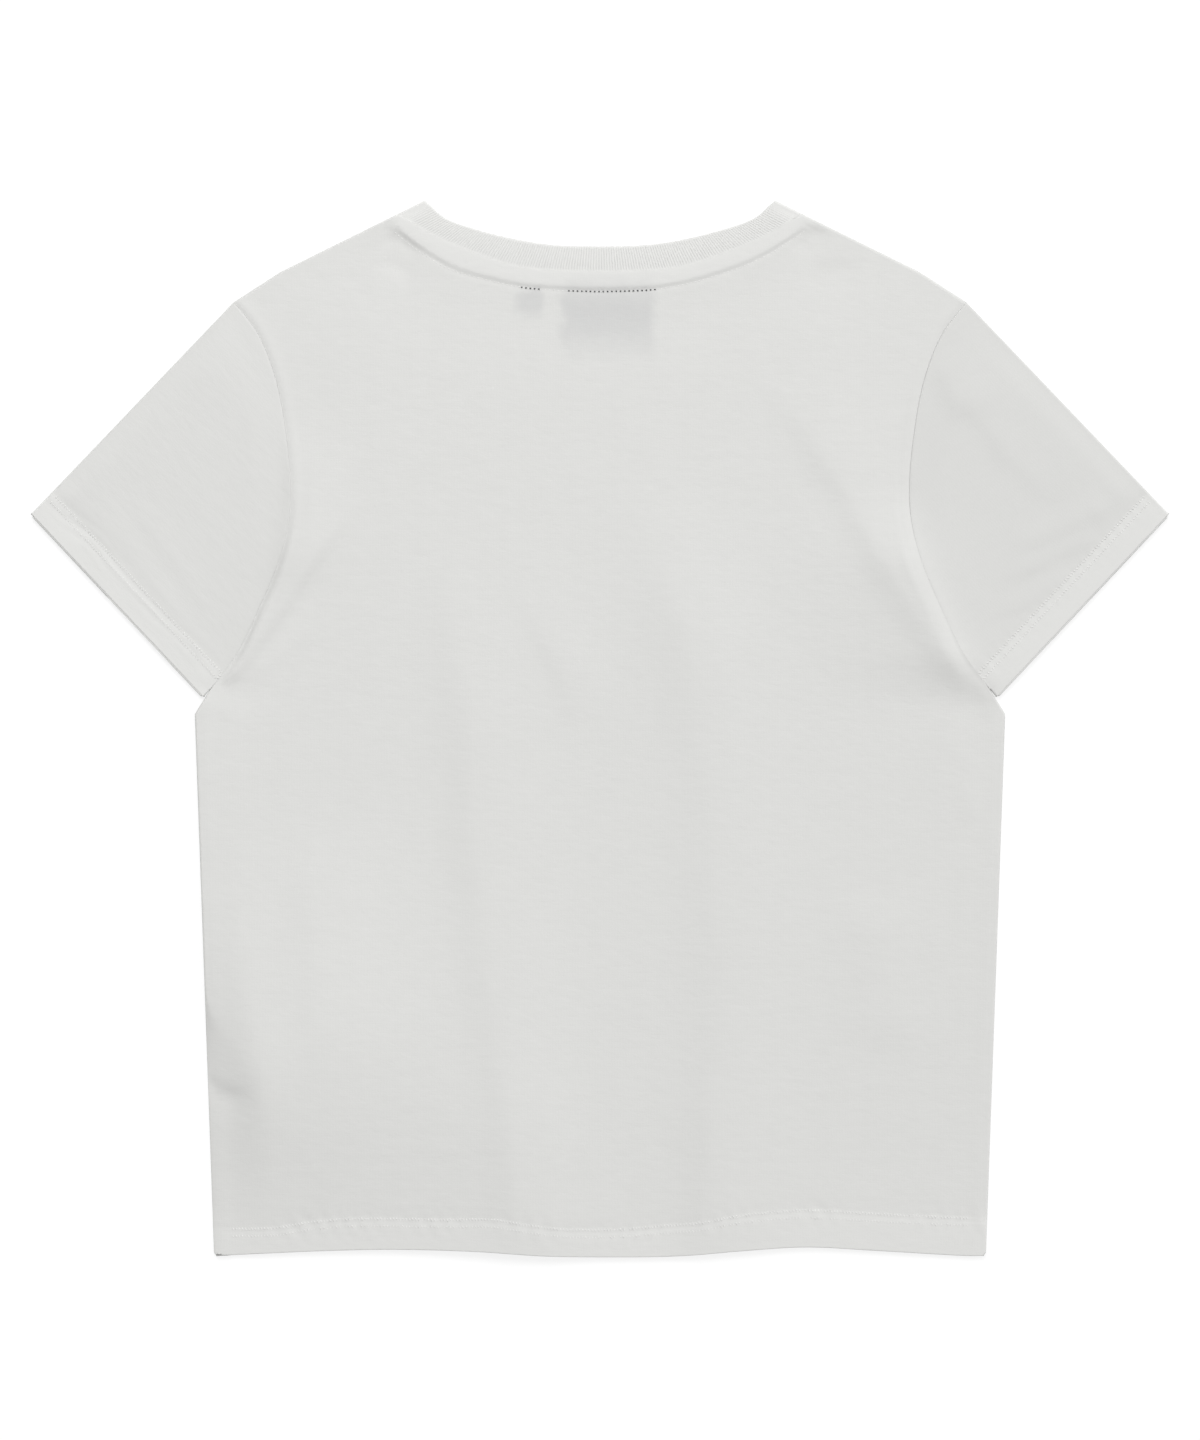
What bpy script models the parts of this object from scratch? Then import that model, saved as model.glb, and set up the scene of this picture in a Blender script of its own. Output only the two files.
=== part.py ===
# A short-sleeved crew-neck t-shirt of white cotton jersey, laid flat with its back up.
# +X runs across the chest, +Y from the hem to the neck, +Z up. The origin lies on the
# surface under the middle of the laid outline. Front and back, or the two layers of a
# sleeve, lie on each other, so the underside of the front layer is the flat z = 0 face.

import math

import bmesh
import bpy
import numpy as np

MM = 0.001  # every size below is in millimetres

# Cloth
WALL = 1.1              # one layer of body cloth
HEM_WALL = 1.7          # the cloth and its turned-up allowance, sewn flat
RIB_WALL = 1.2          # doubled rib, between two ribs
RIB_HEIGHT = 0.25       # how far a rib stands up from the rib cloth
TAPE_WALL = 1.0
LABEL_WALL = 1.0
SEAM_GAP = 0.3          # between pieces at a seam
SLEEVE_GAP = 0.5        # the same at the armhole, which slopes, measured along X

# Plan of the right half: (x, y) of the points that the outline turns at
NECK_CORNER = (99.5, 301.0)         # top of the neck rib, where it folds over the shoulder
RIB_CORNER = (115.0, 293.3)         # the neck seam's end on the shoulder line
SHOULDER_BEND = (182.3, 260.0)
SHOULDER_TIP = (208.6, 243.0)
NOTCH = (224.9, 17.7)
SIDE_TOP = (230.9, 8.6)             # half chest
HEM_CORNER = (219.9, -298.6)        # half hem
HEM_ROUND = (218.4, -300.3)         # the hem's own end: the corner is rounded up to HEM_CORNER
CUFF_TOP = (324.0, 122.3)
CUFF_BOTTOM = (225.9, 17.9)

# Hand-placed curves of the right half, mirrored for the left
ARMHOLE = (             # x, y from the shoulder tip down to the underarm
    (208.6, 243.0),
    (194.3, 224.0),
    (183.8, 196.0),
    (178.1, 163.0),
    (176.1, 137.0),
    (177.6, 116.0),
    (183.6, 93.5),
    (194.2, 68.5),
    (207.0, 42.5),
    (222.4, 22.0),
)
BACK_NECK = (           # x, y of the back neck seam, from the middle to the shoulder
    (0.0, 260.0),
    (25.0, 260.8),
    (47.0, 263.0),
    (70.0, 270.3),
    (90.0, 278.5),
    (104.4, 286.6),
    (115.0, 293.3),
)
BACK_RIB_TOP = (        # x, y of the top edge of the rib over the back neck
    (0.0, 274.6),
    (24.8, 275.3),
    (47.6, 278.6),
    (70.4, 284.3),
    (88.0, 290.7),
    (99.5, 301.0),
)
HEM_WAVE = (            # x, y of the laid hem, left to right: it dips where folds run out
    (-218.4, -300.3),
    (-160.0, -297.6),
    (-116.0, -296.7),
    (-70.0, -297.8),
    (-30.0, -300.4),
    (9.0, -301.0),
    (45.0, -300.4),
    (82.0, -297.4),
    (118.0, -295.4),
    (157.0, -297.4),
    (203.0, -300.1),
    (218.4, -300.3),
)
FRONT_RIB_DROP = 93.0   # from the neck corner down to the rib's top edge, on the front
FRONT_NECK_LEAN = 22.0  # degrees of the oval left out where the front neck meets the shoulder
RIB_WIDTH = 14.5

# Hems, tape and labels
HEM_DEPTH = 17.5
HEM_STEP = 2.0          # the run over which the doubled hem thins to one layer
TAPE_TOP = 1.2          # from the neck seam to the tape's upper edge
TAPE_BOTTOM = 10.0      # from the neck seam to its lower edge
TAPE_STEP = 2.4         # the run over which the back comes down off the tape
TAPE_LIFT = TAPE_WALL + SEAM_GAP
MAIN_LABEL = {"left": -22.8, "right": 31.9, "bottom": 219.8, "top": 249.0}
SIZE_LABEL = {"left": -47.9, "right": -33.0, "bottom": 234.8, "top": 249.0}

# Loft of the laid back over the front, and the folds that stand on it
LOFT = 1.6
LOFT_RUN = 55.0         # the loft grows from nothing over this run from the panel's edge
FOLD_RUN = 28.0         # and the folds over this one
HEM_LOFT = 0.7          # the share of the loft and folds that is left at the hem
LABEL_CLEAR = 45.0      # the back lies unlifted this far below the neck, over the labels
LABEL_CLEAR_RUN = 40.0  # and from there its loft and folds grow over this run
# height of the ridge; west, east: run over which it falls to 1/e of that on either side;
# route: (x, y) points from the neck towards the hem
FOLDS = (
    # the two long folds, steep on the west
    {"height": 2.3, "west": 16.0, "east": 46.0,
     "route": ((-92.0, 118.0), (-74.0, 16.0), (-69.0, -60.0), (-61.0, -140.0), (-48.0, -300.0))},
    {"height": 2.2, "west": 21.0, "east": 44.0,
     "route": ((24.0, 160.0), (54.0, 45.0), (62.0, -12.0), (71.0, -155.0), (64.0, -300.0))},
    # the same two near the hem, where the left one widens and the right one sharpens
    {"height": 1.6, "west": 40.0, "east": 26.0,
     "route": ((-64.0, -160.0), (-56.0, -220.0), (-50.0, -330.0))},
    {"height": 1.4, "west": 14.0, "east": 34.0, "route": ((70.0, -170.0), (64.0, -230.0), (60.0, -330.0))},
    # drag lines from the underarms
    {"height": 2.6, "west": 15.0, "east": 26.0,
     "route": ((84.0, 214.0), (108.0, 190.0), (141.0, 144.0), (165.0, 97.0), (200.0, 41.0))},
    {"height": 1.8, "west": 11.0, "east": 22.0, "route": ((-130.0, 140.0), (-168.0, 80.0), (-206.0, 20.0))},
    # softer ones
    {"height": 1.3, "west": 16.0, "east": 26.0, "route": ((-28.0, 104.0), (-16.0, 45.0), (-8.0, -14.0))},
    {"height": 1.1, "west": 17.0, "east": 34.0,
     "route": ((-154.0, -50.0), (-154.0, -120.0), (-148.0, -200.0))},
    {"height": 1.0, "west": 18.0, "east": 26.0,
     "route": ((152.0, -85.0), (160.0, -140.0), (164.0, -195.0))},
    # the lower left corner stands up
    {"height": 3.4, "west": 40.0, "east": 40.0,
     "route": ((-206.0, -150.0), (-190.0, -200.0), (-184.0, -340.0))},
)
SLEEVE_FOLDS = (        # on the right sleeve, mirrored for the left
    {"height": 1.2, "west": 20.0, "east": 15.0, "route": ((214.0, 205.0), (250.0, 160.0), (280.0, 132.0))},
    {"height": 0.9, "west": 14.0, "east": 14.0, "route": ((200.0, 150.0), (214.0, 100.0), (232.0, 60.0))},
)
FOLD_FADE = 0.3         # share of a fold's length over which it eases out at both ends
FOLD_END = 0.1          # how far into that easing a fold begins and ends
SLEEVE_LOFT = 0.9
SLEEVE_LOFT_RUN = 30.0
CUFF_LOFT = 0.6         # the share of a sleeve's loft and folds that is left at its cuff

# Rows and columns of the grids
SHOULDER_COLUMNS = 6
BACK_NECK_COLUMNS = 22
RIBS_PER_COLUMN = 7     # 154 ribs over the back neck
FRONT_NECK_COLUMNS = 18
BACK_SIDE_ROWS = 16
FRONT_SIDE_ROWS = 6
ARMHOLE_ROWS = 10
SLEEVE_ROWS = 7
FOLD_STEPS = 4          # facets round each folded edge
DRAW_IN = 0.1           # share of a sleeve's width over which it is drawn in from its fold
ROUTE_STEPS = 40        # points along a fold's route
CURVE_STEPS = 24        # points between two knots of a smooth curve
HEM_POINTS = 200        # points along the hem's wave
EDGE_PULL = 4           # how fast the side edges' shape fades towards a panel's middle

# Heights of the layers where nothing lifts them
FRONT_TOP = WALL
BACK_UNDER = WALL + SEAM_GAP
FOLD_RADIUS = SEAM_GAP / 2
FOLD_BULGE = FOLD_RADIUS + WALL

COTTON = {"colour": (0.73, 0.73, 0.715, 1.0), "roughness": 0.92}
RIB = {"colour": (0.76, 0.76, 0.745, 1.0), "roughness": 0.9}
TAPE = {"colour": (0.76, 0.76, 0.745, 1.0), "roughness": 0.85}
LABEL = {"colour": (0.30, 0.30, 0.30, 1.0), "roughness": 0.7}


def smooth_curve(points, segments):
    """Evenly spaced points along a Catmull-Rom curve through the given ones."""
    knots = np.array(points, dtype=float)
    padded = np.vstack([2 * knots[0] - knots[1], knots, 2 * knots[-1] - knots[-2]])
    fine = []
    for before, start, end, after in zip(padded, padded[1:], padded[2:], padded[3:]):
        for t in np.linspace(0, 1, CURVE_STEPS, endpoint=False):
            fine.append(0.5 * (2 * start + (end - before) * t
                               + (2 * before - 5 * start + 4 * end - after) * t ** 2
                               + (3 * start - before - 3 * end + after) * t ** 3))
    fine.append(knots[-1])
    return resample(np.array(fine), segments)


def resample(points, segments):
    """Points at even steps along a polyline."""
    points = np.array(points, dtype=float)
    run = np.concatenate([[0], np.cumsum(np.linalg.norm(np.diff(points, axis=0), axis=1))])
    steps = np.linspace(0, run[-1], segments + 1)
    return np.column_stack([np.interp(steps, run, points[:, axis]) for axis in (0, 1)])


def mirror_x(points):
    """The same points on the other side of x = 0."""
    return np.array(points, dtype=float) * (-1, 1)


def ease(value):
    """Smooth step from 0 to 1."""
    value = np.clip(value, 0, 1)
    return value * value * (3 - 2 * value)


def span_grid(bottom, top, left, right):
    """Rows and columns of points between four edges that share their corners.

    Each column runs straight from the bottom to the top; then the outer columns are
    pulled onto the left and right edges, the pull fading towards the middle.
    """
    across = 2 * (top[:, 0] - top[0, 0]) / (top[-1, 0] - top[0, 0]) - 1
    up = (left[:, 1] - left[0, 1]) / (left[-1, 1] - left[0, 1])
    v = up[:, None, None]
    straight = (1 - v) * bottom[None] + v * top[None]
    left_pull = (np.clip(-across, 0, 1) ** EDGE_PULL)[None, :, None]
    right_pull = (np.clip(across, 0, 1) ** EDGE_PULL)[None, :, None]
    return (straight + left_pull * (left[:, None] - straight[:, :1])
            + right_pull * (right[:, None] - straight[:, -1:]))


def fold_height(plan, folds):
    """Sum of the ridges: each falls off as a bell on either side, and eases out at its ends."""
    total = np.zeros(plan.shape[:-1])
    for fold in folds:
        route = resample(fold["route"], ROUTE_STEPS)
        offset = plan[..., None, :] - route
        distance = np.linalg.norm(offset, axis=-1)
        nearest = distance.argmin(axis=-1)
        heading = np.gradient(route, axis=0)[nearest]
        away = plan - route[nearest]
        east = heading[..., 0] * away[..., 1] > heading[..., 1] * away[..., 0]
        width = np.where(east, fold["east"], fold["west"])
        along = nearest / ROUTE_STEPS
        ends = ease(along / FOLD_FADE + FOLD_END) * ease((1 - along) / FOLD_FADE + FOLD_END)
        total += fold["height"] * ends * np.exp(-(distance.min(axis=-1) / width) ** 2)
    return total


def body_side(side_rows):
    """Right edge of a body panel from the hem to the shoulder tip."""
    start = np.array(HEM_CORNER)
    end = np.array(SIDE_TOP)
    direction = (end - start) / np.linalg.norm(end - start)
    hem_above = HEM_DEPTH - (HEM_CORNER[1] - HEM_ROUND[1])
    hem_rows = [start, start + direction * hem_above, start + direction * (hem_above + HEM_STEP)]
    side = resample([hem_rows[-1], end], side_rows)
    armhole = smooth_curve(ARMHOLE, ARMHOLE_ROWS)[::-1]
    # the rows under the shoulder are set by the tape that lies there
    tip = armhole[-1]
    down = (armhole[-2] - tip) / np.linalg.norm(armhole[-2] - tip)
    tape_rows = [tip + down * step / -down[1] for step in (TAPE_BOTTOM + TAPE_STEP, TAPE_BOTTOM, TAPE_TOP)]
    return np.vstack([[HEM_ROUND], hem_rows[:2], side, [NOTCH], armhole[:-1], tape_rows, [tip]])


def body_grid(neck, neck_columns, side_rows):
    """Plan of a body panel: the neck seam is given from its middle to the right shoulder."""
    right = body_side(side_rows)
    left = mirror_x(right)
    shoulder = resample([RIB_CORNER, SHOULDER_BEND, SHOULDER_TIP], SHOULDER_COLUMNS)
    half_neck = neck(neck_columns // 2)
    half_top = np.vstack([half_neck, shoulder[1:]])
    top = np.vstack([mirror_x(half_top[:0:-1]), half_top])
    hem = smooth_curve(HEM_WAVE, HEM_POINTS)
    hem_x = top[:, 0] * HEM_ROUND[0] / SHOULDER_TIP[0]
    bottom = np.column_stack([hem_x, np.interp(hem_x, hem[:, 0], hem[:, 1])])
    return span_grid(bottom, top, left, right)


def back_neck(columns):
    return smooth_curve(BACK_NECK, columns)


def front_arc(corner, drop, columns):
    """A round neckline: an oval's arc from its lowest point up to the corner on the shoulder."""
    last = math.radians(FRONT_NECK_LEAN)
    angle = np.linspace(math.pi / 2, last, columns + 1)
    x = corner[0] * np.cos(angle) / math.cos(last)
    y = corner[1] - drop * (np.sin(angle) - math.sin(last)) / (1 - math.sin(last))
    return np.column_stack([x, y])


def front_neck(columns):
    lowest = NECK_CORNER[1] - FRONT_RIB_DROP - RIB_WIDTH
    return front_arc(RIB_CORNER, RIB_CORNER[1] - lowest, columns)


def edge_fade(plan, run, sides=(0, 0, 0, 0)):
    """Rises from each edge of a grid (bottom, top, left, right) to 1; sides are the shares at the edges."""
    fade = np.ones(plan.shape[:2])
    edges = (plan[:1], plan[-1:], plan[:, :1], plan[:, -1:])
    for edge, share in zip(edges, sides):
        distance = np.linalg.norm(plan - edge, axis=-1)
        fade *= share + (1 - share) * ease(distance / run)
    return fade


def cotton(name, look):
    """A matt cotton material."""
    material = bpy.data.materials.new(name + "_cloth")
    material.use_nodes = True
    shader = material.node_tree.nodes["Principled BSDF"]
    shader.inputs["Base Color"].default_value = look["colour"]
    shader.inputs["Roughness"].default_value = look["roughness"]
    shader.inputs["Metallic"].default_value = 0.0
    material.diffuse_color = look["colour"]
    return material


def cloth(name, points, thickness, offset, look, collection, closed=False):
    """A wall of cloth: a grid moved onto the points (rows, columns, xyz) with a Solidify.

    thickness is one number or an array of one for each point; offset is +1 where the
    cloth is built on the side that the grid's faces look to, and -1 on the other side.
    """
    points = np.array(points, dtype=float)
    rows, columns = points.shape[:2]
    thickness = np.broadcast_to(thickness, (rows, columns))
    thickest = float(thickness.max())
    mesh = bpy.data.meshes.new(name)
    sheet = bmesh.new()
    bmesh.ops.create_grid(sheet, x_segments=columns - 1, y_segments=rows - 1, size=1.0)
    weights = sheet.verts.layers.deform.verify()
    for vert in sheet.verts:
        column = round((vert.co.x + 1) / 2 * (columns - 1))
        row = round((vert.co.y + 1) / 2 * (rows - 1))
        vert.co = points[row, column] * MM
        vert[weights][0] = float(thickness[row, column]) / thickest
    if closed:
        bmesh.ops.remove_doubles(sheet, verts=sheet.verts, dist=0.00001)
    sheet.to_mesh(mesh)
    sheet.free()
    mesh.shade_smooth()
    mesh.set_sharp_from_angle(angle=math.radians(50))
    piece = bpy.data.objects.new(name, mesh)
    piece.vertex_groups.new(name="thickness")
    solidify = piece.modifiers.new("cloth", "SOLIDIFY")
    solidify.thickness = thickest * MM
    solidify.offset = offset
    solidify.vertex_group = "thickness"
    mesh.materials.append(cotton(name, look))
    collection.objects.link(piece)
    return piece


def hem_thickness(rows, columns, hem_rows):
    """One layer of cloth, doubled on the given rows."""
    thickness = np.full((rows, columns), WALL)
    thickness[hem_rows] = HEM_WALL
    return thickness


def front_panel(plan, collection):
    points = np.dstack([plan, np.zeros(plan.shape[:2])])
    thickness = hem_thickness(*plan.shape[:2], [0, 1, 2])
    cloth("front_panel", points, thickness, 1, COTTON, collection)


def back_heights(plan):
    """Underside of the back: on the front, up over the hem and the neck tape, with its folds."""
    neck = slice(SHOULDER_COLUMNS, SHOULDER_COLUMNS + BACK_NECK_COLUMNS + 1)
    lift = LOFT * edge_fade(plan, LOFT_RUN, (HEM_LOFT, 0, 0, 0))
    folds = fold_height(plan, FOLDS) * edge_fade(plan, FOLD_RUN, (HEM_LOFT, 0, 0, 0))
    below_neck = plan[-1:, :, 1] - plan[..., 1]
    clear_of_labels = ease((below_neck - LABEL_CLEAR) / LABEL_CLEAR_RUN)
    heights = BACK_UNDER + (lift + folds) * clear_of_labels
    heights[:3] += HEM_WALL - WALL
    heights[-3:, neck] += TAPE_LIFT
    return heights


def back_panel(plan, collection):
    points = np.dstack([plan, back_heights(plan)])
    thickness = hem_thickness(*plan.shape[:2], [0, 1, 2])
    cloth("back_panel", points, thickness, 1, COTTON, collection)


def sleeve_layer(side):
    """Plan of one layer of a sleeve: rows from the armhole to the cuff, columns up to the fold."""
    armhole = body_side(1)[-ARMHOLE_ROWS - 4:] + (SLEEVE_GAP, 0)
    tip, cuff_top, cuff_bottom = armhole[-1], np.array(CUFF_TOP), np.array(CUFF_BOTTOM)
    slope = (cuff_top - tip) / np.linalg.norm(cuff_top - tip)
    bulge = np.array([-slope[1], slope[0]])
    steps = np.linalg.norm(np.diff(armhole, axis=0), axis=1)
    share = np.concatenate([[0], np.cumsum(steps)]) / steps.sum()
    cuff = cuff_bottom + share[:, None] * (cuff_top - cuff_bottom)
    length = np.linalg.norm(cuff_top - tip)
    stops = np.linspace(0, 1 - (HEM_DEPTH + HEM_STEP) / length, SLEEVE_ROWS)
    stops = np.concatenate([stops, [1 - HEM_DEPTH / length, 1]])[:, None, None]
    plan = armhole + stops * (cuff - armhole)
    thickness = hem_thickness(*plan.shape[:2], [-2, -1])
    # drawn in from the fold so that its bulge ends on the outline
    reach = (FOLD_RADIUS + thickness) * ease((share - 1 + DRAW_IN) / DRAW_IN)
    plan -= bulge * reach[..., None]
    return plan * (side, 1), bulge * (side, 1), thickness


def sleeve(name, side, collection):
    """One piece, folded along the top of the arm, its edges meeting at the underarm."""
    plan, bulge, thickness = sleeve_layer(side)
    fade = edge_fade(plan, SLEEVE_LOFT_RUN, (0, CUFF_LOFT, 0, 0))
    lift = (SLEEVE_LOFT + fold_height(plan * (side, 1), SLEEVE_FOLDS)) * fade
    lower = np.dstack([plan, thickness])
    upper = np.dstack([plan, thickness + SEAM_GAP + lift])
    round_fold = []
    for step in range(1, FOLD_STEPS):
        angle = math.pi / 2 - math.pi * step / FOLD_STEPS
        out = plan[:, -1] + bulge * FOLD_RADIUS * math.cos(angle)
        middle = thickness[:, -1] + SEAM_GAP / 2
        round_fold.append(np.column_stack([out, middle + FOLD_RADIUS * math.sin(angle)]))
    fold = np.stack(round_fold, axis=1)
    points = np.concatenate([upper, fold, lower[:, ::-1]], axis=1)
    layers = np.concatenate([thickness, thickness[:, -1:].repeat(FOLD_STEPS - 1, axis=1),
                             thickness[:, ::-1]], axis=1)
    cloth(name, points, layers, -side, COTTON, collection)


def inset(points, distance):
    """The polyline moved to its left."""
    along = np.gradient(points, axis=0)
    left = np.column_stack([-along[:, 1], along[:, 0]]) / np.linalg.norm(along, axis=1)[:, None]
    return points + left * distance


def drawn_back(points, drop):
    """Both ends of the polyline shortened until they lie lower by the drop."""
    points = points.copy()
    for end, inner in ((0, 1), (-1, -2)):
        run = points[end] - points[inner]
        points[end] -= run * drop / run[1]
    return points


def both_halves(half):
    """A right half from the middle, completed to a whole from left to right."""
    return np.vstack([mirror_x(half[:0:-1]), half])


def between(points, per_segment):
    """Adds points inside each straight segment, evenly."""
    places = np.arange((len(points) - 1) * per_segment + 1) / per_segment
    return np.column_stack([np.interp(places, np.arange(len(points)), points[:, axis]) for axis in (0, 1)])


def neck_rib(back_seam, front_seam, collection):
    """A ring of doubled rib, folded flat at both shoulders; its back half shows its ribs."""
    half = BACK_NECK_COLUMNS // 2
    back_low = drawn_back(inset(back_seam, SEAM_GAP), FOLD_BULGE + TAPE_LIFT / 2)
    back_top = drawn_back(both_halves(smooth_curve(BACK_RIB_TOP, half)), FOLD_BULGE)
    back_plan = np.stack([between(edge, 2 * RIBS_PER_COLUMN) for edge in (back_low, back_top)])
    half = FRONT_NECK_COLUMNS // 2
    front_low = drawn_back(inset(front_seam, SEAM_GAP), FOLD_BULGE + TAPE_LIFT / 2)
    front_top = drawn_back(both_halves(front_arc(NECK_CORNER, FRONT_RIB_DROP, half)), FOLD_BULGE)
    front_plan = np.stack([front_low, front_top])[:, ::-1]

    # the back half's seam edge lies on the neck tape, level with the back's own edge
    heights = np.array([BACK_UNDER + TAPE_LIFT, BACK_UNDER])
    back = np.dstack([back_plan, np.broadcast_to(heights[:, None], back_plan.shape[:2])])
    front = np.dstack([front_plan, np.full(front_plan.shape[:2], FRONT_TOP)])

    def shoulder_fold(start, end):
        """Half rounds from the start's section to the end's, one over or under the other."""
        steps = []
        for step in range(1, FOLD_STEPS):
            angle = math.pi * step / FOLD_STEPS
            section = (start + end) / 2 + (start - end) / 2 * math.cos(angle)
            section[:, 1] += abs(start - end)[:, 2] / 2 * math.sin(angle)
            steps.append(section)
        return np.stack(steps, axis=1)

    right_fold = shoulder_fold(back[:, -1], front[:, 0])
    left_fold = shoulder_fold(front[:, -1], back[:, 0])
    points = np.concatenate([back, right_fold, front, left_fold, back[:, :1]], axis=1)
    thickness = np.full(points.shape[:2], WALL)
    ribs = np.where(np.arange(back.shape[1]) % 2 == 1, RIB_WALL + RIB_HEIGHT, RIB_WALL)
    thickness[:, :len(ribs)] = ribs
    thickness[:, -1] = thickness[:, 0]
    cloth("neck_rib", points, thickness, 1, RIB, collection, closed=True)


def back_neck_tape(plan, collection):
    """A tape under the back, over the neck seam's allowance, made from the panel's own points."""
    neck = slice(SHOULDER_COLUMNS, SHOULDER_COLUMNS + BACK_NECK_COLUMNS + 1)
    band = plan[-3:-1, neck]
    points = np.dstack([band, np.full(band.shape[:2], BACK_UNDER)])
    cloth("back_neck_tape", points, TAPE_WALL, 1, TAPE, collection)


def label(name, place, collection):
    """A blank label that hangs inside from the neck tape, on the surface the shirt lies on."""
    x = np.linspace(place["left"], place["right"], 5)
    y = np.linspace(place["bottom"], place["top"], 3)
    across, up = np.meshgrid(x, y)
    cloth(name, np.dstack([across, up, np.zeros(across.shape)]), LABEL_WALL, 1, LABEL, collection)


def main():
    for old in list(bpy.data.objects):
        bpy.data.objects.remove(old, do_unlink=True)
    collection = bpy.data.collections.new("t_shirt")
    bpy.context.scene.collection.children.link(collection)

    back_plan = body_grid(back_neck, BACK_NECK_COLUMNS, BACK_SIDE_ROWS)
    front_plan = body_grid(front_neck, FRONT_NECK_COLUMNS, FRONT_SIDE_ROWS)
    neck = slice(SHOULDER_COLUMNS, -SHOULDER_COLUMNS)
    front_panel(front_plan, collection)
    back_panel(back_plan, collection)
    sleeve("right_sleeve", 1, collection)
    sleeve("left_sleeve", -1, collection)
    neck_rib(back_plan[-1, neck], front_plan[-1, neck], collection)
    back_neck_tape(back_plan, collection)
    label("main_label", MAIN_LABEL, collection)
    label("size_label", SIZE_LABEL, collection)


main()
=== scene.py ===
import math

import bpy
import numpy as np
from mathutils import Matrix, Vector


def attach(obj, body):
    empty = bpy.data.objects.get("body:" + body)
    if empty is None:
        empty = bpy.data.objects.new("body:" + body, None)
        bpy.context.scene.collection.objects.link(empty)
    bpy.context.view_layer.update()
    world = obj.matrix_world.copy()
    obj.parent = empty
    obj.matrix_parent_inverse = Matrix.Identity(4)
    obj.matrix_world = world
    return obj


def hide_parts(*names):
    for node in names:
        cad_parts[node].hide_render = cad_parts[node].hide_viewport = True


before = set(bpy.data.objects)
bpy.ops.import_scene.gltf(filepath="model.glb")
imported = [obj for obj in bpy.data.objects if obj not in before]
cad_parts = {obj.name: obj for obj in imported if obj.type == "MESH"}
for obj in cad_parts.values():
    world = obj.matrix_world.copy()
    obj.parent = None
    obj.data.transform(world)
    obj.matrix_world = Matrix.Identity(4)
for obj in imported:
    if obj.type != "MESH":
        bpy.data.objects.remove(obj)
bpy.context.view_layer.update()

mm = 0.001   # sizes below are in millimetres, meshes in metres

# White cotton t-shirt laid flat with its back up: X across, Y hem to neck, Z up.
# The plan is the one the CAD was drawn from, so every shell lies on its solid.
cut = {
    "neckCorner": (99.5, 301),
    "ribCorner": (115, 293.3),
    "shoulder": ((115, 293.3), (182.3, 260), (208.6, 243)),
    "side": ((218.4, -300.3), (219.9, -298.6), (230.9, 8.6), (224.9, 17.7), (222.4, 22)),
    "armhole": ((222.4, 22), (207, 42.5), (194.2, 68.5), (183.6, 93.5), (177.6, 116),
                (176.1, 137), (178.1, 163), (183.8, 196), (194.3, 224), (208.6, 243)),
    "backNeck": ((0, 260), (25, 260.8), (47, 263), (70, 270.3), (90, 278.5),
                 (104.4, 286.6), (115, 293.3)),
    "ribTop": ((0, 274.6), (24.8, 275.3), (47.6, 278.6), (70.4, 284.3), (88, 290.7), (99.5, 301)),
    "hem": ((-218.4, -300.3), (-160, -297.6), (-116, -296.7), (-70, -297.8), (-30, -300.4),
            (9, -301), (45, -300.4), (82, -297.4), (118, -295.4), (157, -297.4),
            (203, -300.1), (218.4, -300.3)),
    "cuffTop": (324, 122.3),
    "cuffBottom": (225.9, 17.9),
    "frontDrop": 93.0,       # neck corner down to the front rib's top edge
    "frontLean": 22.0,       # degrees of the oval left out at the shoulder
    "ribWidth": 14.5,
    "seamGap": 0.03,
    "sleeveGap": 0.04,
}
layers = {
    "cloth": 0.8,            # thickness of the shells: jersey with its fuzz
    "meet": 1.25,            # height at which the two faces meet along the edges
    "top": 2.5,              # outside of the upper face where nothing lifts it
    "hemMeet": 0.4,          # the doubled hem lifts the edge by this
    "hemTop": 0.85,          # and the outside of the upper face by this
    "stack": 1.6,            # cloth and turned-up allowance together
    "edgeRun": 0.9,          # run over which an outer edge rounds off
    "foldRun": 0.5,          # the same for the turned edge of hem and cuffs
    "apart": 0.06,           # half the gap between the faces along an edge
}


# Catmull-Rom: between two knots the cubic whose end slopes are half the step between neighbours
def smoothLine(knots, steps):
    knots = np.array(knots, float)
    padded = np.vstack([2 * knots[0] - knots[1], knots, 2 * knots[-1] - knots[-2]])
    a, b, c, d = (q[:, None, :] for q in (padded[:-3], padded[1:-2], padded[2:-1], padded[3:]))
    t = np.linspace(0, 1, 24, endpoint=False)[None, :, None]
    curve = 0.5 * (2 * b + (c - a) * t + (2 * a - 5 * b + 4 * c - d) * t ** 2
                   + (3 * b - a - 3 * c + d) * t ** 3)
    return evenLine(np.vstack([curve.reshape(-1, knots.shape[1]), knots[-1:]]), steps)


# length of the way from a line's start to each of its points
def runAlong(line):
    return np.concatenate([[0], np.cumsum(np.linalg.norm(np.diff(line, axis=0), axis=1))])


# the points at some stops of a line whose own points lie at the given places
def pointsAt(stops, places, line):
    return np.column_stack([np.interp(stops, places, values) for values in line.T])


# the same line with its points at even steps of length
def evenLine(line, steps):
    run = runAlong(line)
    return pointsAt(np.linspace(0, run[-1], steps + 1), run, line)


# a line's Y at some places along X
def lineAt(line, x):
    return np.interp(x, line[:, 0], line[:, 1])


# a line drawn from the middle to the right, together with its mirror image
def bothHalves(half):
    return np.vstack([half[:0:-1] * (-1, 1), half])


# smooth step: 3t^2 - 2t^3, held at 0 and 1 outside
def eased(value):
    value = np.clip(value, 0, 1)
    return value * value * (3 - 2 * value)


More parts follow.
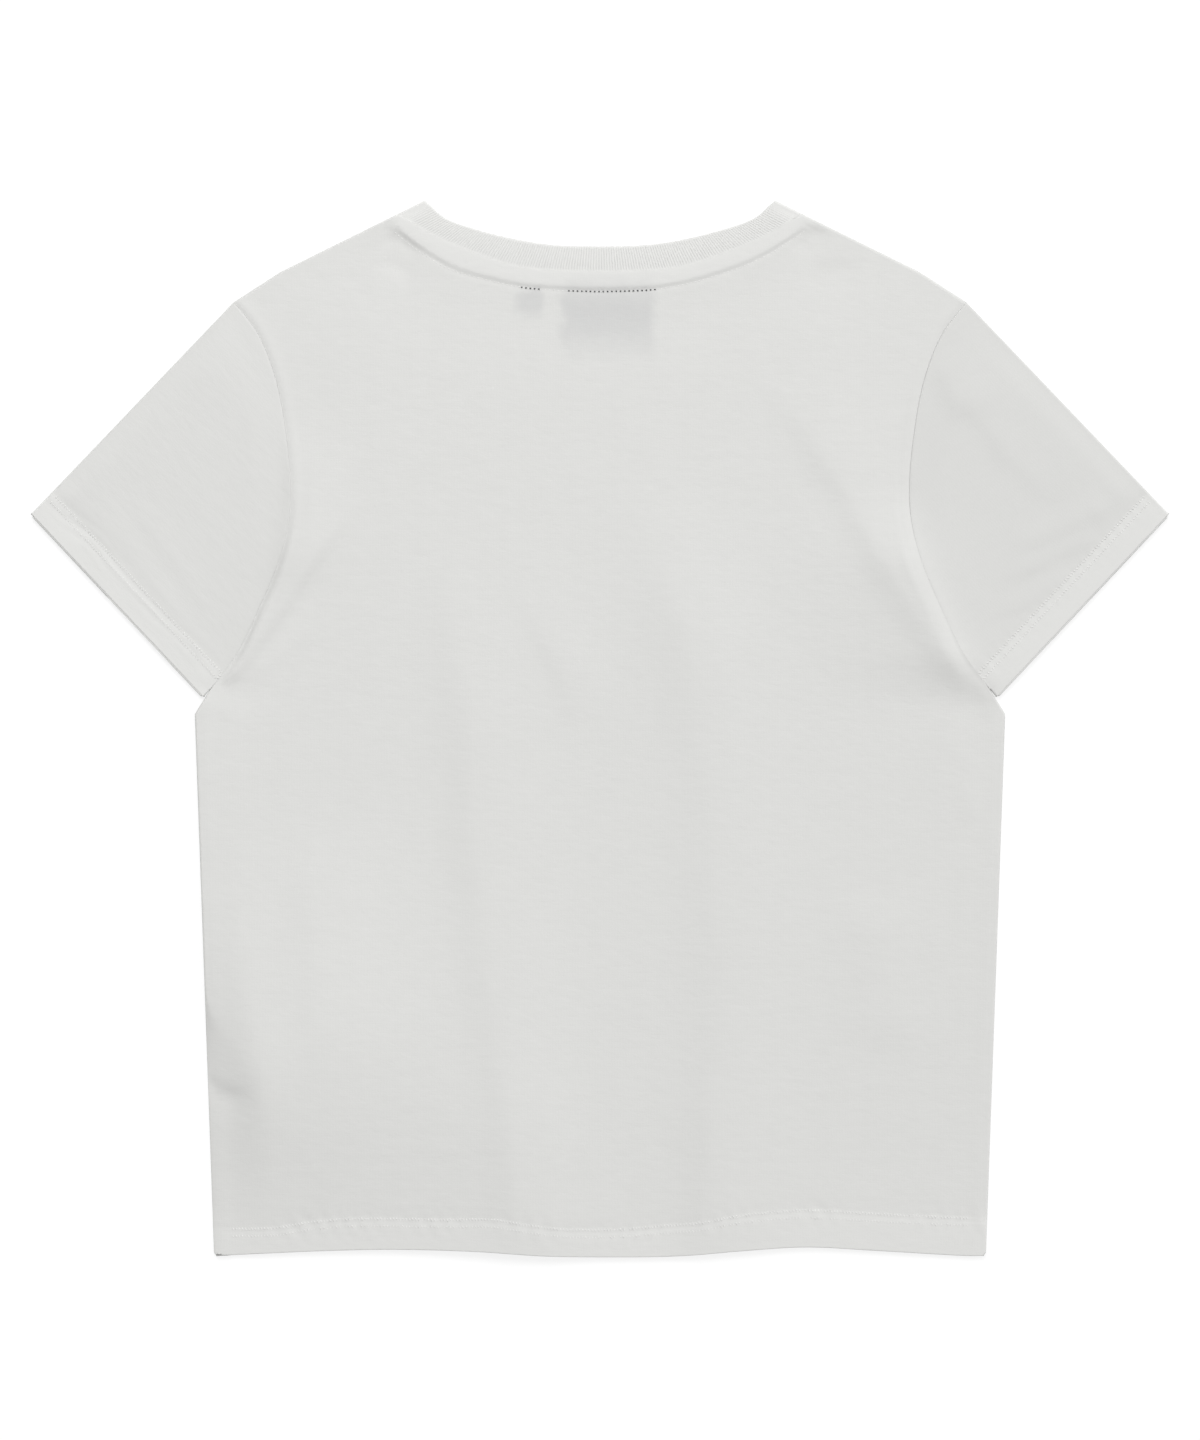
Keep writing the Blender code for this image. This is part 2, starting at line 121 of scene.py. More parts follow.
# quarter of an ellipse: rises steeply from 0 and reaches 1 at the end of the run
def roundOff(distance, run):
    rest = 1 - np.clip(distance / run, 0, 1)
    return np.sqrt(1 - rest * rest)


# bell curve: e to the power of minus the square of distance over width
def bell(distance, width):
    return np.exp(-(distance / width) ** 2)


# distance from every plan point to a polyline, the share of its length where the nearest place
# is, and the side of it (+1 on the left): foot of the perpendicular on each stretch
def nearLine(plan, line):
    shape = plan.shape[:-1]
    flat = plan.reshape(-1, 1, 2)
    start, step = line[None, :-1], np.diff(line, axis=0)[None]
    lengths = np.linalg.norm(step, axis=2)
    share = np.clip(((flat - start) * step).sum(2) / lengths ** 2, 0, 1)
    away = flat - start - share[..., None] * step
    distance = np.linalg.norm(away, axis=2)
    best = distance.argmin(axis=1)
    pick = (np.arange(len(flat)), best)
    run = runAlong(line)
    along = (run[best] + share[pick] * lengths[0, best]) / run[-1]
    left = np.sign(step[0, best, 0] * away[pick][:, 1] - step[0, best, 1] * away[pick][:, 0])
    return distance[pick].reshape(shape), along.reshape(shape), left.reshape(shape)


# a fold: its height, its widths on the west and the east, the points of its route from the top
# down, and the shares of the route over which it fades in and out
def fold(height, west, east, *route, fadeIn=0.3, fadeOut=0.3):
    return {"height": height, "west": west, "east": east, "route": smoothLine(route, 30),
            "fadeIn": fadeIn, "fadeOut": fadeOut}


# folds added up: each ridge (or trough, with a negative height) falls off as a bell with its own
# width on either side of its route, and eases out over its ends
def foldsAt(plan, folds):
    total = np.zeros(plan.shape[:-1])
    for one in folds:
        away, along, left = nearLine(plan, one["route"])
        width = np.where(left > 0, one["east"], one["west"])
        ends = eased(along / one["fadeIn"]) * eased((1 - along) / one["fadeOut"])
        total += one["height"] * ends * bell(away, width)
    return total


# slow unevenness of laid cloth: sine waves in fixed random directions, summed
def unevenness(plan, wavelength, seed):
    chance = np.random.default_rng(seed)
    total = np.zeros(plan.shape[:-1])
    waves = 7
    for _ in range(waves):
        angle = chance.uniform(0, 2 * math.pi)
        length = wavelength * chance.uniform(0.6, 1.7)
        across = plan[..., 0] * math.cos(angle) + plan[..., 1] * math.sin(angle)
        total += np.sin(2 * math.pi * across / length + chance.uniform(0, 2 * math.pi))
    return total / waves ** 0.5


# an oval's arc from its lowest point in the middle up to the corner on the shoulder
def ovalArc(corner, drop, steps):
    last = math.radians(cut["frontLean"])
    angle = np.linspace(math.pi / 2, last, steps + 1)
    x = corner[0] * np.cos(angle) / math.cos(last)
    y = corner[1] - drop * (np.sin(angle) - math.sin(last)) / (1 - math.sin(last))
    return np.column_stack([x, y])


hemLine = smoothLine(cut["hem"], 200)
sideLine = np.array(cut["side"])
armLine = smoothLine(cut["armhole"], 80)
edgeLine = np.vstack([sideLine, armLine[1:]])
shoulderLine = np.array(cut["shoulder"])
neckHalf = smoothLine(cut["backNeck"], 60)
frontSeamDrop = cut["ribCorner"][1] - (cut["neckCorner"][1] - cut["frontDrop"] - cut["ribWidth"])
frontHalf = ovalArc(cut["ribCorner"], frontSeamDrop, 60)


# places along a length: fine steps at both ends, coarse ones between, as shares of the length
def places(length, fineStart, fineEnd, fine, coarse):
    start = np.arange(0, fineStart, fine)
    end = length - np.arange(0, fineEnd, fine)[::-1]
    count = round((length - fineStart - fineEnd) / coarse)
    middle = np.linspace(fineStart, length - fineEnd, count + 1)
    return np.unique(np.round(np.concatenate([start, middle, end]), 4)) / length


# points on a quarter circle seen from its middle, as distances from the folded edge
def foldPlaces(radius):
    return radius * (1 - np.cos(np.radians([0, 22, 44, 66, 90])))


# plan of a body panel: every column runs straight from the hem to the top, then the outer ones
# are drawn onto the side edge, by the fourth power of their place across
def panelPlan(across, up, topHalf):
    top = np.vstack([topHalf, shoulderLine[1:]])
    topX = across * top[-1, 0]
    topY = lineAt(top, np.abs(topX))
    hemX = across * sideLine[0, 0]
    hemY = lineAt(hemLine, hemX)
    u, v = across[None, :], up[:, None]
    x = (1 - v) * hemX + v * topX
    y = (1 - v) * hemY + v * topY
    edgeY = sideLine[0, 1] + v * (top[-1, 1] - sideLine[0, 1])
    edgeX = np.interp(edgeY, edgeLine[:, 1], edgeLine[:, 0])
    pull = u ** 4
    x = x + pull * np.sign(u) * (edgeX - ((1 - v) * sideLine[0, 0] + v * top[-1, 0]))
    y = y + pull * (edgeY - ((1 - v) * hemY[-1] + v * top[-1, 1]))
    return np.dstack([x, y])


# height of plan points above the hem's edge
def aboveHem(plan):
    return plan[..., 1] - lineAt(hemLine, plan[..., 0])


# distances of plan points from the seams and edges of a body panel
def seamDistances(plan, topHalf):
    folded = np.dstack([np.abs(plan[..., 0]), plan[..., 1]])
    lines = {"side": sideLine, "arm": armLine, "shoulder": shoulderLine, "neck": topHalf}
    near = {name: nearLine(folded, line)[0] for name, line in lines.items()}
    return {**near, "hem": aboveHem(plan)}


# 0 at each of the named seams and edges, rising to 1 at the given distance from it
def clearOf(near, **reaches):
    share = 1
    for name, reach in reaches.items():
        share = share * eased(near[name] / reach)
    return share


# a mesh from rows and columns of points; either direction can run round and close on itself
def gridMesh(name, points, closeRows=False, closeColumns=False, flip=False, attributes=None):
    rows, columns = points.shape[:2]
    number = np.arange(rows * columns).reshape(rows, columns)
    if closeRows:
        number = np.vstack([number, number[:1]])
    if closeColumns:
        number = np.hstack([number, number[:, :1]])
    quads = np.stack([number[:-1, :-1], number[:-1, 1:], number[1:, 1:], number[1:, :-1]], axis=2)
    quads = quads.reshape(-1, 4)[:, ::-1 if flip else 1]
    return meshFrom(name, points.reshape(-1, 3), quads, attributes)


# an object of some data in the scene, at the origin
def addObject(name, data):
    thing = bpy.data.objects.new(name, data)
    bpy.context.scene.collection.objects.link(thing)
    return thing


# whole arrays into a mesh: points in millimetres, faces of one size
def meshFrom(name, points, faces, attributes=None):
    sides = faces.shape[1]
    mesh = bpy.data.meshes.new(name)
    mesh.vertices.add(len(points))
    mesh.vertices.foreach_set("co", (points * mm).astype(np.float32).ravel())
    mesh.loops.add(faces.size)
    mesh.loops.foreach_set("vertex_index", faces.astype(np.int32).ravel())
    mesh.polygons.add(len(faces))
    mesh.polygons.foreach_set("loop_start", np.arange(0, faces.size, sides, dtype=np.int32))
    mesh.polygons.foreach_set("loop_total", np.full(len(faces), sides, dtype=np.int32))
    mesh.update(calc_edges=True)
    for key, values in (attributes or {}).items():
        layer = mesh.attributes.new(key, "FLOAT", "POINT")
        layer.data.foreach_set("value", values.astype(np.float32).ravel())
    mesh.shade_smooth()
    return addObject(name, mesh)


# finishes a piece: its wall of cloth, built inwards from the outside surface, its material, and
# its place in the frame
def place(piece, material, slot, *nodes, wall=0):
    if wall:
        shell = piece.modifiers.new("cloth", "SOLIDIFY")
        shell.thickness = wall * mm
        shell.offset = -1
    piece.data.materials.append(material)
    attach(piece, "root")
    if nodes:
        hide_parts(*nodes)
    return piece


# an sRGB hex colour as the linear one that the shaders take
def linear(hexColour):
    parts = [int(hexColour[i:i + 2], 16) / 255 for i in (1, 3, 5)]
    return tuple(p / 12.92 if p <= 0.04045 else ((p + 0.055) / 1.055) ** 2.4 for p in parts) + (1.0,)


# feeds inputs of a node, each with a fixed value or from the socket that drives it
def feed(tree, node, inputs):
    for key, value in inputs.items():
        if isinstance(value, bpy.types.NodeSocket):
            tree.links.new(value, node.inputs[key])
        else:
            node.inputs[key].default_value = value
    return node


# a new shader node with its inputs and settings
def addNode(tree, kind, inputs, **settings):
    node = tree.nodes.new("ShaderNode" + kind)
    for key, value in settings.items():
        setattr(node, key, value)
    return feed(tree, node, inputs)


# arithmetic on sockets and numbers; kind is VectorMath where they are vectors
def maths(tree, operation, *inputs, kind="Math"):
    return addNode(tree, kind, dict(enumerate(inputs)), operation=operation).outputs[0]


# carries a value from one range over to another
def ramp(tree, value, start, end, first=0.0, last=1.0, **settings):
    inputs = {"Value": value, "From Min": start, "From Max": end, "To Min": first, "To Max": last}
    return addNode(tree, "MapRange", inputs, **settings).outputs[0]


# a blend of two colours, each a hex colour or the socket of one
def blend(tree, factor, first, second):
    inputs = {"Factor": factor}
    for socket, colour in ((6, first), (7, second)):
        inputs[socket] = linear(colour) if isinstance(colour, str) else colour
    return addNode(tree, "Mix", inputs, data_type="RGBA").outputs[2]


# soft parallel bands some millimetres apart: at scale 1 a wave repeats every 0.314 m
def bands(tree, position, direction, apart, distortion, detail=2.0, detailScale=1.0):
    inputs = {"Vector": position, "Scale": 0.314 / (apart * mm), "Distortion": distortion,
              "Detail": detail, "Detail Scale": detailScale}
    return addNode(tree, "TexWave", inputs, bands_direction=direction).outputs["Fac"]


# cloudy noise, with this many blobs to a metre
def noise(tree, position, scale, detail, roughness=0.5):
    inputs = {"Vector": position, "Scale": scale, "Detail": detail, "Roughness": roughness}
    return addNode(tree, "TexNoise", inputs).outputs


# bump of a height socket, its depth in millimetres, on top of an earlier one where that is given
def bump(tree, height, strength, depth, earlier=None):
    inputs = {"Height": height, "Strength": strength, "Distance": depth * mm}
    if earlier:
        inputs["Normal"] = earlier
    return addNode(tree, "Bump", inputs).outputs[0]


# a material with its tree and its shader, and the place on the object that patterns go by
def newMaterial(name):
    material = bpy.data.materials.new(name)
    material.use_nodes = True
    tree = material.node_tree
    position = addNode(tree, "TexCoord", {}).outputs["Object"]
    return material, tree, tree.nodes["Principled BSDF"], position


# the soft fuzz that all cotton has
cottonFuzz = {"Specular IOR Level": 0.2, "Sheen Weight": 0.08, "Sheen Roughness": 0.6}
jersey = {
    "colour": "#D1D1CF",       # optic white cotton as a camera sees it beside a white floor
    "doubled": "#D6D6D4",      # where the cloth lies double less grey shows through
    "shade": "#CCCCCA",        # faint mottle of the yarn
    "ghost": "#A4A5A8",        # a dark label seen through one layer
    "waleMm": 1.6,             # real wales are 0.8 mm apart, drawn coarser so that they show
    "courseMm": 1.3,           # real courses are 0.6 mm apart
    "yarnMm": 2.2,
    "crinkleMm": 5.0,          # faint crinkles left by wear and folding, wider than high
    "roughness": 0.93,
    # sleeve colours: a little greyer than the body's, the right one more, as painted shade; the turn is
    # that of their wales
    "leftSleeve": "#CFCFCD", "rightSleeve": "#CECECC", "sleeveTurn": 45.0,
}
# where the labels hang, how dark they show, and between which places dark stitches hold them
mainLabel = {"left": -21.8, "right": 30.8, "bottom": 217.0, "top": 249.0, "darkness": 0.34,
             "fade": 28.0, "sideFade": 8.0, "foot": 0.6, "stitched": (-18.8, 31.9)}
sizeLabel = {"left": -48.2, "right": -33.2, "bottom": 236.5, "top": 249.0, "darkness": 0.29,
             "fade": 9.0, "sideFade": 8.0, "foot": 0.7, "stitched": (-45.6, -33.1)}


# the labels sewn inside darken the layer over them: one minus the distance outside the label's
# box over a fade, along X times along Y, on places that a noise has shifted a little, and weaker
# towards the foot, where the label hangs away from the cloth
def labelGhost(tree, position):
    drift = noise(tree, position, 110.0, 3.0)["Color"]
    shift = maths(tree, "SUBTRACT", drift, (0.5, 0.5, 0.5), kind="VectorMath")
    ragged = maths(tree, "MULTIPLY_ADD", shift, (0.010, 0.012, 0.0), position, kind="VectorMath")
    spot = addNode(tree, "SeparateXYZ", {0: ragged}).outputs
    ghosts = []
    for label in (mainLabel, sizeLabel):
        ghost = ramp(tree, spot["Y"], label["bottom"] * mm, label["top"] * mm,
                     label["foot"] * label["darkness"], label["darkness"])
        for axis, low, high, fade in (("X", "left", "right", label["sideFade"]),
                                      ("Y", "bottom", "top", label["fade"])):
            centre, half = (label[low] + label[high]) / 2, (label[high] - label[low]) / 2
            away = maths(tree, "ABSOLUTE", maths(tree, "SUBTRACT", spot[axis], centre * mm))
            inside = ramp(tree, away, (half - fade / 2) * mm, (half + fade / 2) * mm, 1.0, 0.0,
                          interpolation_type="SMOOTHSTEP")
            ghost = maths(tree, "MULTIPLY", ghost, inside)
        ghosts.append(ghost)
    return maths(tree, "ADD", *ghosts)


# Combed cotton single jersey, ring spun and circular knitted: matt and softly fuzzy, with fine
# upright wales, a faint mottle from the uneven yarn, and whiter where the cloth lies double.
# A sleeve's wales run along it, turned by some degrees; its colour is a little greyer than the body's,
# the right one more, which is painted shade.
def cottonJersey(name, colour, turn=0.0, withLabels=False):
    material, tree, shader, upright = newMaterial(name)
    position = addNode(tree, "VectorRotate", {"Vector": upright, "Angle": math.radians(turn)},
                       rotation_type="Z_AXIS").outputs[0]
    wales = bands(tree, position, "X", jersey["waleMm"], 4.5, 3.0, 2.2)
    courses = bands(tree, position, "Y", jersey["courseMm"], 6.0, 3.0, 2.0)
    yarn = noise(tree, position, 1 / (jersey["yarnMm"] * mm), 4.0, 0.65)["Fac"]
    knit = maths(tree, "MULTIPLY_ADD", maths(tree, "MULTIPLY", wales, courses), 0.45, yarn)
    stretched = maths(tree, "MULTIPLY", position, (0.45, 1.0, 1.0), kind="VectorMath")
    crinkle = noise(tree, stretched, 1 / (jersey["crinkleMm"] * mm), 2.0)["Fac"]
    normal = bump(tree, crinkle, 0.7, 0.3, bump(tree, knit, 0.3, 0.12))
    mottle = ramp(tree, noise(tree, position, 95.0, 6.0, 0.75)["Fac"], 0.38, 0.65, 0.0, 0.3)
    doubled = addNode(tree, "Attribute", {}, attribute_name="doubled").outputs["Fac"]
    surface = blend(tree, mottle, colour, jersey["shade"])
    surface = blend(tree, doubled, surface, jersey["doubled"])
    if withLabels:
        surface = blend(tree, labelGhost(tree, upright), surface, jersey["ghost"])
    feed(tree, shader, {"Base Color": surface, "Normal": normal, "Roughness": jersey["roughness"],
                        **cottonFuzz})
    return material


ribKnit = {
    "colour": "#D7D7D5",
    "shade": "#D2D2D0",
    "groove": "#C8C8C6",       # shadow between two ribs
    "loopMm": 1.4,
}


# 1x1 rib knit of the same cotton with elastane: matt, its ribs modelled, its loops in the bump,
# and darker between the ribs, where little light reaches.
def cottonRib(name):
    material, tree, shader, position = newMaterial(name)
    loops = noise(tree, position, 1 / (ribKnit["loopMm"] * mm), 3.0)["Fac"]
    groove = addNode(tree, "Attribute", {}, attribute_name="groove").outputs["Fac"]
    cloth = blend(tree, ramp(tree, loops, 0.35, 0.7, 0.0, 0.6), ribKnit["colour"], ribKnit["shade"])
    feed(tree, shader, {"Base Color": blend(tree, groove, cloth, ribKnit["groove"]),
                        "Normal": bump(tree, loops, 0.3, 0.1), "Roughness": 0.92, **cottonFuzz})
    return material


# Core-spun polyester sewing thread: smoother and a little glossier than the cloth, twisted.
def sewingThread(name, hexColour):
    material, tree, shader, position = newMaterial(name)
    twist = bands(tree, position, "DIAGONAL", 0.5, 0.5)
    feed(tree, shader, {"Base Color": linear(hexColour), "Normal": bump(tree, twist, 0.3, 0.05),
                        "Roughness": 0.6})
    return material


# Woven satin label of fine polyester, blank: smooth, with faint weft lines and a soft gloss.
def wovenSatin(name):
    material, tree, shader, position = newMaterial(name)
    weft = bands(tree, position, "Y", 0.6, 0.6)
    feed(tree, shader, {"Base Color": blend(tree, weft, "#8E8F92", "#7F8083"),
                        "Normal": bump(tree, weft, 0.4, 0.06), "Roughness": 0.55})
    return material


jerseyCloth = cottonJersey("cottonJersey", jersey["colour"])
jerseyOverLabels = cottonJersey("cottonJerseyOverLabels", jersey["colour"], withLabels=True)
# the sleeves get their own greyer copies of the jersey: painted shade
jerseyLeftPaintedShade = cottonJersey("cottonJerseyLeftSleevePaintedShade", jersey["leftSleeve"], turn=jersey["sleeveTurn"])
jerseyRightPaintedShade = cottonJersey("cottonJerseyRightSleevePaintedShade", jersey["rightSleeve"], turn=-jersey["sleeveTurn"])
ribCloth = cottonRib("cottonRib")
whiteThread = sewingThread("whiteThread", "#DCDCDA")
darkThread = sewingThread("darkThread", "#2C2D30")
labelCloth = wovenSatin("satinLabel")
print("materials made")

# body of the shirt: what back and front share
body = {
    "fineStep": 0.8, "rowStep": 3.5, "columnStep": 2.75,
    "long": 556.0,             # about the middle of a panel, from the hem to the neck
    "hemFine": 26.0, "neckFine": 17.0,     # stretches with fine rows at the hem and at the top
    "allowance": 2.0,          # the turned-up cloth ends this far above the upper stitch row
    "drawnIn": (0.036, 0.008), # share by which its left and right side are drawn in
    "stitchGap": 4.2,          # between the two rows of the coverstitch
    "hemStep": 2.6,            # width of the step where the doubled cloth ends
    "edgeStep": (10, 11),      # the same along the side edges: where it starts, and its width
    "leastGap": 0.12,          # the allowance keeps this far from the middle between the faces
    "hemWhite": 0.55,          # how much of the doubled cloth's whiteness the hem shows
    "tapeWhite": 0.6,          # the same over the neck tape
    "stitchGroove": 0.2, "stitchDent": 0.04,
    "pucker": 0.38, "puckerWave": 9.5,     # what the hem stitches draw up, and how far apart
    "stitchRow": ((-230, -284.7), (-188, -284.5), (-165, -281), (-137, -279), (-91, -279.5),
                  (-62, -279.3), (-42, -282.3), (-20, -285), (10, -285.2), (35, -283.3),
                  (57, -281.3), (80, -277.2), (105, -274.8), (122, -274.4), (145, -275.6),
                  (175, -277.4), (230, -279.5)),
}
rowLine = smoothLine(body["stitchRow"], 200)


# height above the upper hem stitch row
def aboveRow(plan):
    return plan[..., 1] - lineAt(rowLine, plan[..., 0])


# 1 on doubled cloth and 0 beyond the upper stitch row, over a step across it
def doubledShare(beyondRow):
    return eased(0.5 - beyondRow / body["hemStep"])


def hemShare(plan):
    return doubledShare(aboveRow(plan))


# the same along the side edges, where the doubled cloth starts more softly
def edgeShare(plan):
    start, run = body["edgeStep"]
    return eased((start - aboveRow(plan)) / run)


# the doubled cloth's lift: a share of it steps up at the stitch row, the rest slopes up over a run
def hemRise(doubled, away, spread):
    step, start, run = spread
    return step * doubled + (1 - step) * eased((start - away) / run)


# the hem's surface: a groove between the two stitch rows, a faint dent at the lower one, and small
# slanting puckers that the stitching draws up, strongest at the rows
def hemRelief(plan, seed):
    row = aboveRow(plan)
    groove = -body["stitchGroove"] * bell(row + 0.4 * body["stitchGap"], 1.1)
    dent = -body["stitchDent"] * bell(row + body["stitchGap"], 0.8)
    slant = plan[..., 0] + 0.5 * plan[..., 1]
    draw = 0.5 + 0.5 * np.clip(unevenness(plan * (1, 0), 70.0, seed), -1, 1)
    wave = np.sin(2 * math.pi * slant / body["puckerWave"] + 2 * unevenness(plan, 60.0, seed + 1))
    pucker = body["pucker"] * draw * wave
    return groove + dent + pucker * bell(row + body["stitchGap"] / 2, 7.0)


# columns of a body panel: even steps, finer at the side edges and one on each neck corner
def panelColumns():
    half = shoulderLine[-1, 0]
    near = np.array([0.0, 0.15, 0.4, 0.8, 1.3, 1.9, 2.7, 3.7, 5.0]) / half
    inner = np.linspace(0, 1 - near[-1], round(half / body["columnStep"]))
    corner = cut["ribCorner"][0] / half
    inner[np.abs(inner - corner).argmin()] = corner
    right = np.concatenate([inner, 1 - near[-2::-1]])
    return np.concatenate([-right[:0:-1], right])


# a body panel: rows run from the turned-up allowance down, round the hem fold and up to the top,
# the last two close together, so that the neck edge is shaded as the cloth before it
def panelRows():
    length = body["long"]
    turn = foldPlaces(layers["foldRun"])
    inner = np.concatenate([turn, np.arange(2.0, 27.0, 4.0)]) / length
    outer = places(length, body["hemFine"], body["neckFine"], body["fineStep"], body["rowStep"])
    outer = outer[outer * length > turn[-1] + 0.3]
    outer = np.concatenate([turn / length, outer[:-1], [1 - 0.07 / length, 1.0]])
    return inner[::-1], outer


# the two faces of a folded edge: they part from their middle as a half circle
def closeFold(outside, inside, distance):
    middle = (outside + inside) / 2
    opening = roundOff(distance, layers["foldRun"])
    return middle + (outside - middle) * opening, middle + (inside - middle) * opening


# the allowance's plan: its rows end a set way above the stitch row, and its sides draw in, more
# at the left corner, where the outer cloth comes down over it
def allowancePlan(across, up, topHalf):
    plan = panelPlan(across, up, topHalf)
    hem = lineAt(hemLine, plan[..., 0])
    row = lineAt(rowLine, plan[..., 0]) + body["allowance"]
    share = (up / up.max())[:, None]
    plan[..., 1] = hem + share * (row - hem)
    plan[..., 0] *= 1 - np.where(plan[..., 0] < 0, *body["drawnIn"]) * eased(share * 4)
    return plan


# builds a body panel from its height function; side is +1 for the upper face and -1 for the lower
def bodyPanel(name, topHalf, height, side):
    across = panelColumns()
    inner, outer = panelRows()
    outerPlan = panelPlan(across, outer, topHalf)
    outside = height(outerPlan)
    outside, _ = closeFold(outside, outside - side * layers["stack"], aboveHem(outerPlan))
    innerPlan = allowancePlan(across, inner, topHalf)
    meet = layers["meet"] + layers["hemMeet"]
    under = height(innerPlan) - side * layers["stack"]
    under = meet + side * np.maximum(side * (under - meet), body["leastGap"])
    _, inside = closeFold(under + side * layers["stack"], under, aboveHem(innerPlan))
    inside[-1] = outside[0]
    points = np.vstack([np.dstack([innerPlan, inside])[:-1], np.dstack([outerPlan, outside])])
    white = np.maximum(body["hemWhite"] * hemShare(outerPlan),
                       body["tapeWhite"] * tapeShare(outerPlan, side))
    doubled = np.concatenate([np.full(inside[:-1].shape, body["hemWhite"]), white])
    return gridMesh(name, points, flip=side < 0, attributes={"doubled": doubled})


back = {
    "loft": 1.1, "loftRun": 60.0, "sideLoftRun": 150.0,
    "hemLoft": 0.75,           # share of the loft and folds left at the hem
    "hemRise": (0.36, 36, 38), # share that steps up; distance where the slope starts; its run
    "uneven": 0.022,
    # distance below the neck seam and lift: seam allowance and tape make the band, which steps
    # down to the topstitch, and the cloth runs on from there in a low roll
    "neckBand": ((0, 1.24), (0.5, 1.29), (1.4, 1.35), (4.5, 1.42), (7.2, 1.4), (8.6, 1.26), (9.6, 0.84),
                 (10.4, 0.5), (11.1, 0.38), (12, 0.46), (14, 0.5), (20, 0.34), (30, 0.1),
                 (44, 0), (900, 0)),
    "topstitch": 11.1,
    # the same distance along X, as the band was sewn: wider on the left shoulder
    "bandWidth": ((-116, 9.2), (-105, 11), (-95, 12.2), (-84, 13.6), (-75, 13.5), (-63, 12.2),
                  (-50, 11.3), (-36, 11.1), (27, 11.2), (39, 10.4), (52, 10.1), (80, 10.7),
                  (100, 9.8), (116, 9)),
    "armBead": 0.32, "armBeadAt": 3.4, "armBeadWidth": 2.2,
    "armSeam": 2.36, "armGroove": 0.85,    # height of the armhole seam, half width of its groove
    "tipSeam": 2.75, "tipGroove": 3.2,     # the same where it ends in the underarm, at the cuff
    "tipFrom": 30, "tipRun": 36,           # up to this Y, and changing over this
    # lift of the seam's bulk beside the lower armhole, the places along Y between which it comes
    # and goes, and how far it reaches over sleeve and body
    "armRise": {"left": (2, 186, 134, 108, 76, 5.5, 32),
                "right": (4.6, 138, 88, 46, 11, 10.5, 50)},
    "armClear": (4, 9),        # the drag lines run out over this beside the left and right seam
    "sideBead": 0.28, "sideBeadWidth": 11.0,      # the side seam's allowance, pressed to the back
    # the lower left corner rolls off over this, below this Y, and by degrees over the last
    "cornerRun": 32.0, "cornerFrom": -150, "cornerEase": 60,
}
backFolds = (
    # the two long folds that run down from the shoulder blades: steep on the west, a long fall east
    fold(2.3, 16, 37, (-92, 118), (-84, 70), (-74, 16), (-69, -60), (-61, -140), (-50, -215), (-42, -310),
         fadeOut=0.08),
    fold(2.1, 20, 36, (24, 160), (40, 96), (54, 45), (62, -12), (68, -98), (71, -155), (64, -310),
         fadeOut=0.08),
    # both widen or sharpen towards the hem
    fold(3.5, 40, 28, (-64, -160), (-56, -220), (-50, -320), fadeIn=0.7, fadeOut=0.05),
    fold(1.5, 12, 34, (70, -170), (64, -230), (60, -320), fadeIn=0.7, fadeOut=0.05),
    # softer ones
    fold(1.1, 9, 22, (-48, 98), (-32, 58), (-15, 20), (-6, -24), fadeIn=0.5, fadeOut=0.5),
    fold(1.5, 32, 30, (18, 156), (38, 96), (50, 40), (58, -20), fadeIn=0.6, fadeOut=0.5),
    fold(0.7, 8, 30, (-28, -185), (-29, -240), (-28, -320), fadeIn=0.5, fadeOut=0.06),
    fold(1.2, 14, 34, (-160, -50), (-160, -130), (-152, -210)),
    fold(1, 18, 26, (152, -85), (160, -140), (164, -195)),
    fold(0.45, 15, 12, (184, 12), (204, -18), (214, -66)),
)
# drag lines that fan out from the underarms, running right up to the seam, and dents where the
# neck band runs out on the shoulders
dragFolds = (
    fold(2, 11, 32, (82, 214), (106, 189), (138, 142), (163, 96), (181, 68), (203, 37), (220, 14),
         fadeIn=0.4, fadeOut=0.14),
    fold(0.35, 4, 9, (168, 112), (180, 84), (194, 58)),
    fold(2.5, 14, 5.5, (-132, 140), (-143, 128), (-160, 103), (-184, 67), (-201, 43), (-214, 25),
         fadeIn=0.5, fadeOut=0.06),
    fold(0.6, 8, 5.5, (-156, 66), (-180, 46), (-200, 28), (-214, 14), fadeIn=0.5, fadeOut=0.4),
    fold(0.7, 7, 4.5, (-150, 156), (-162, 128), (-178, 96), (-194, 70), fadeIn=0.5),
    fold(-1.2, 8, 3.5, (-126, 282), (-114, 277), (-100, 266)),
    fold(-0.8, 6, 4, (-128, 268), (-116, 264), (-104, 258)),
    fold(-1, 4, 8, (132, 282), (120, 280), (108, 270)),
    fold(-0.5, 4, 10, (150, 262), (130, 262), (112, 256)),
)
# at the lower left the cloth bulges up and falls to the corner, and is pinched from the side
cornerFolds = (
    fold(11, 27, 116, (-208, -30), (-200, -130), (-185, -225), (-187, -314), fadeIn=0.74, fadeOut=0.46),
    # and the edge stands up a little below the underarm
    fold(1.8, 20, 26, (-220, 30), (-226, 4), (-227, -30), (-225, -90), fadeIn=0.16, fadeOut=0.6),
    fold(-2.6, 12, 3.5, (-226, -199), (-212, -208), (-194, -206), fadeIn=0.1, fadeOut=0.6),
)
bandLine = np.vstack([smoothLine(back["neckBand"][:-1], 300), back["neckBand"][-1]])
bandWidth = smoothLine(back["bandWidth"], 120)


# distance from the neck seam, drawn in or out so that the topstitch keeps its nominal distance
def bandDistance(plan, distance):
    return distance * back["topstitch"] / lineAt(bandWidth, plan[..., 0])


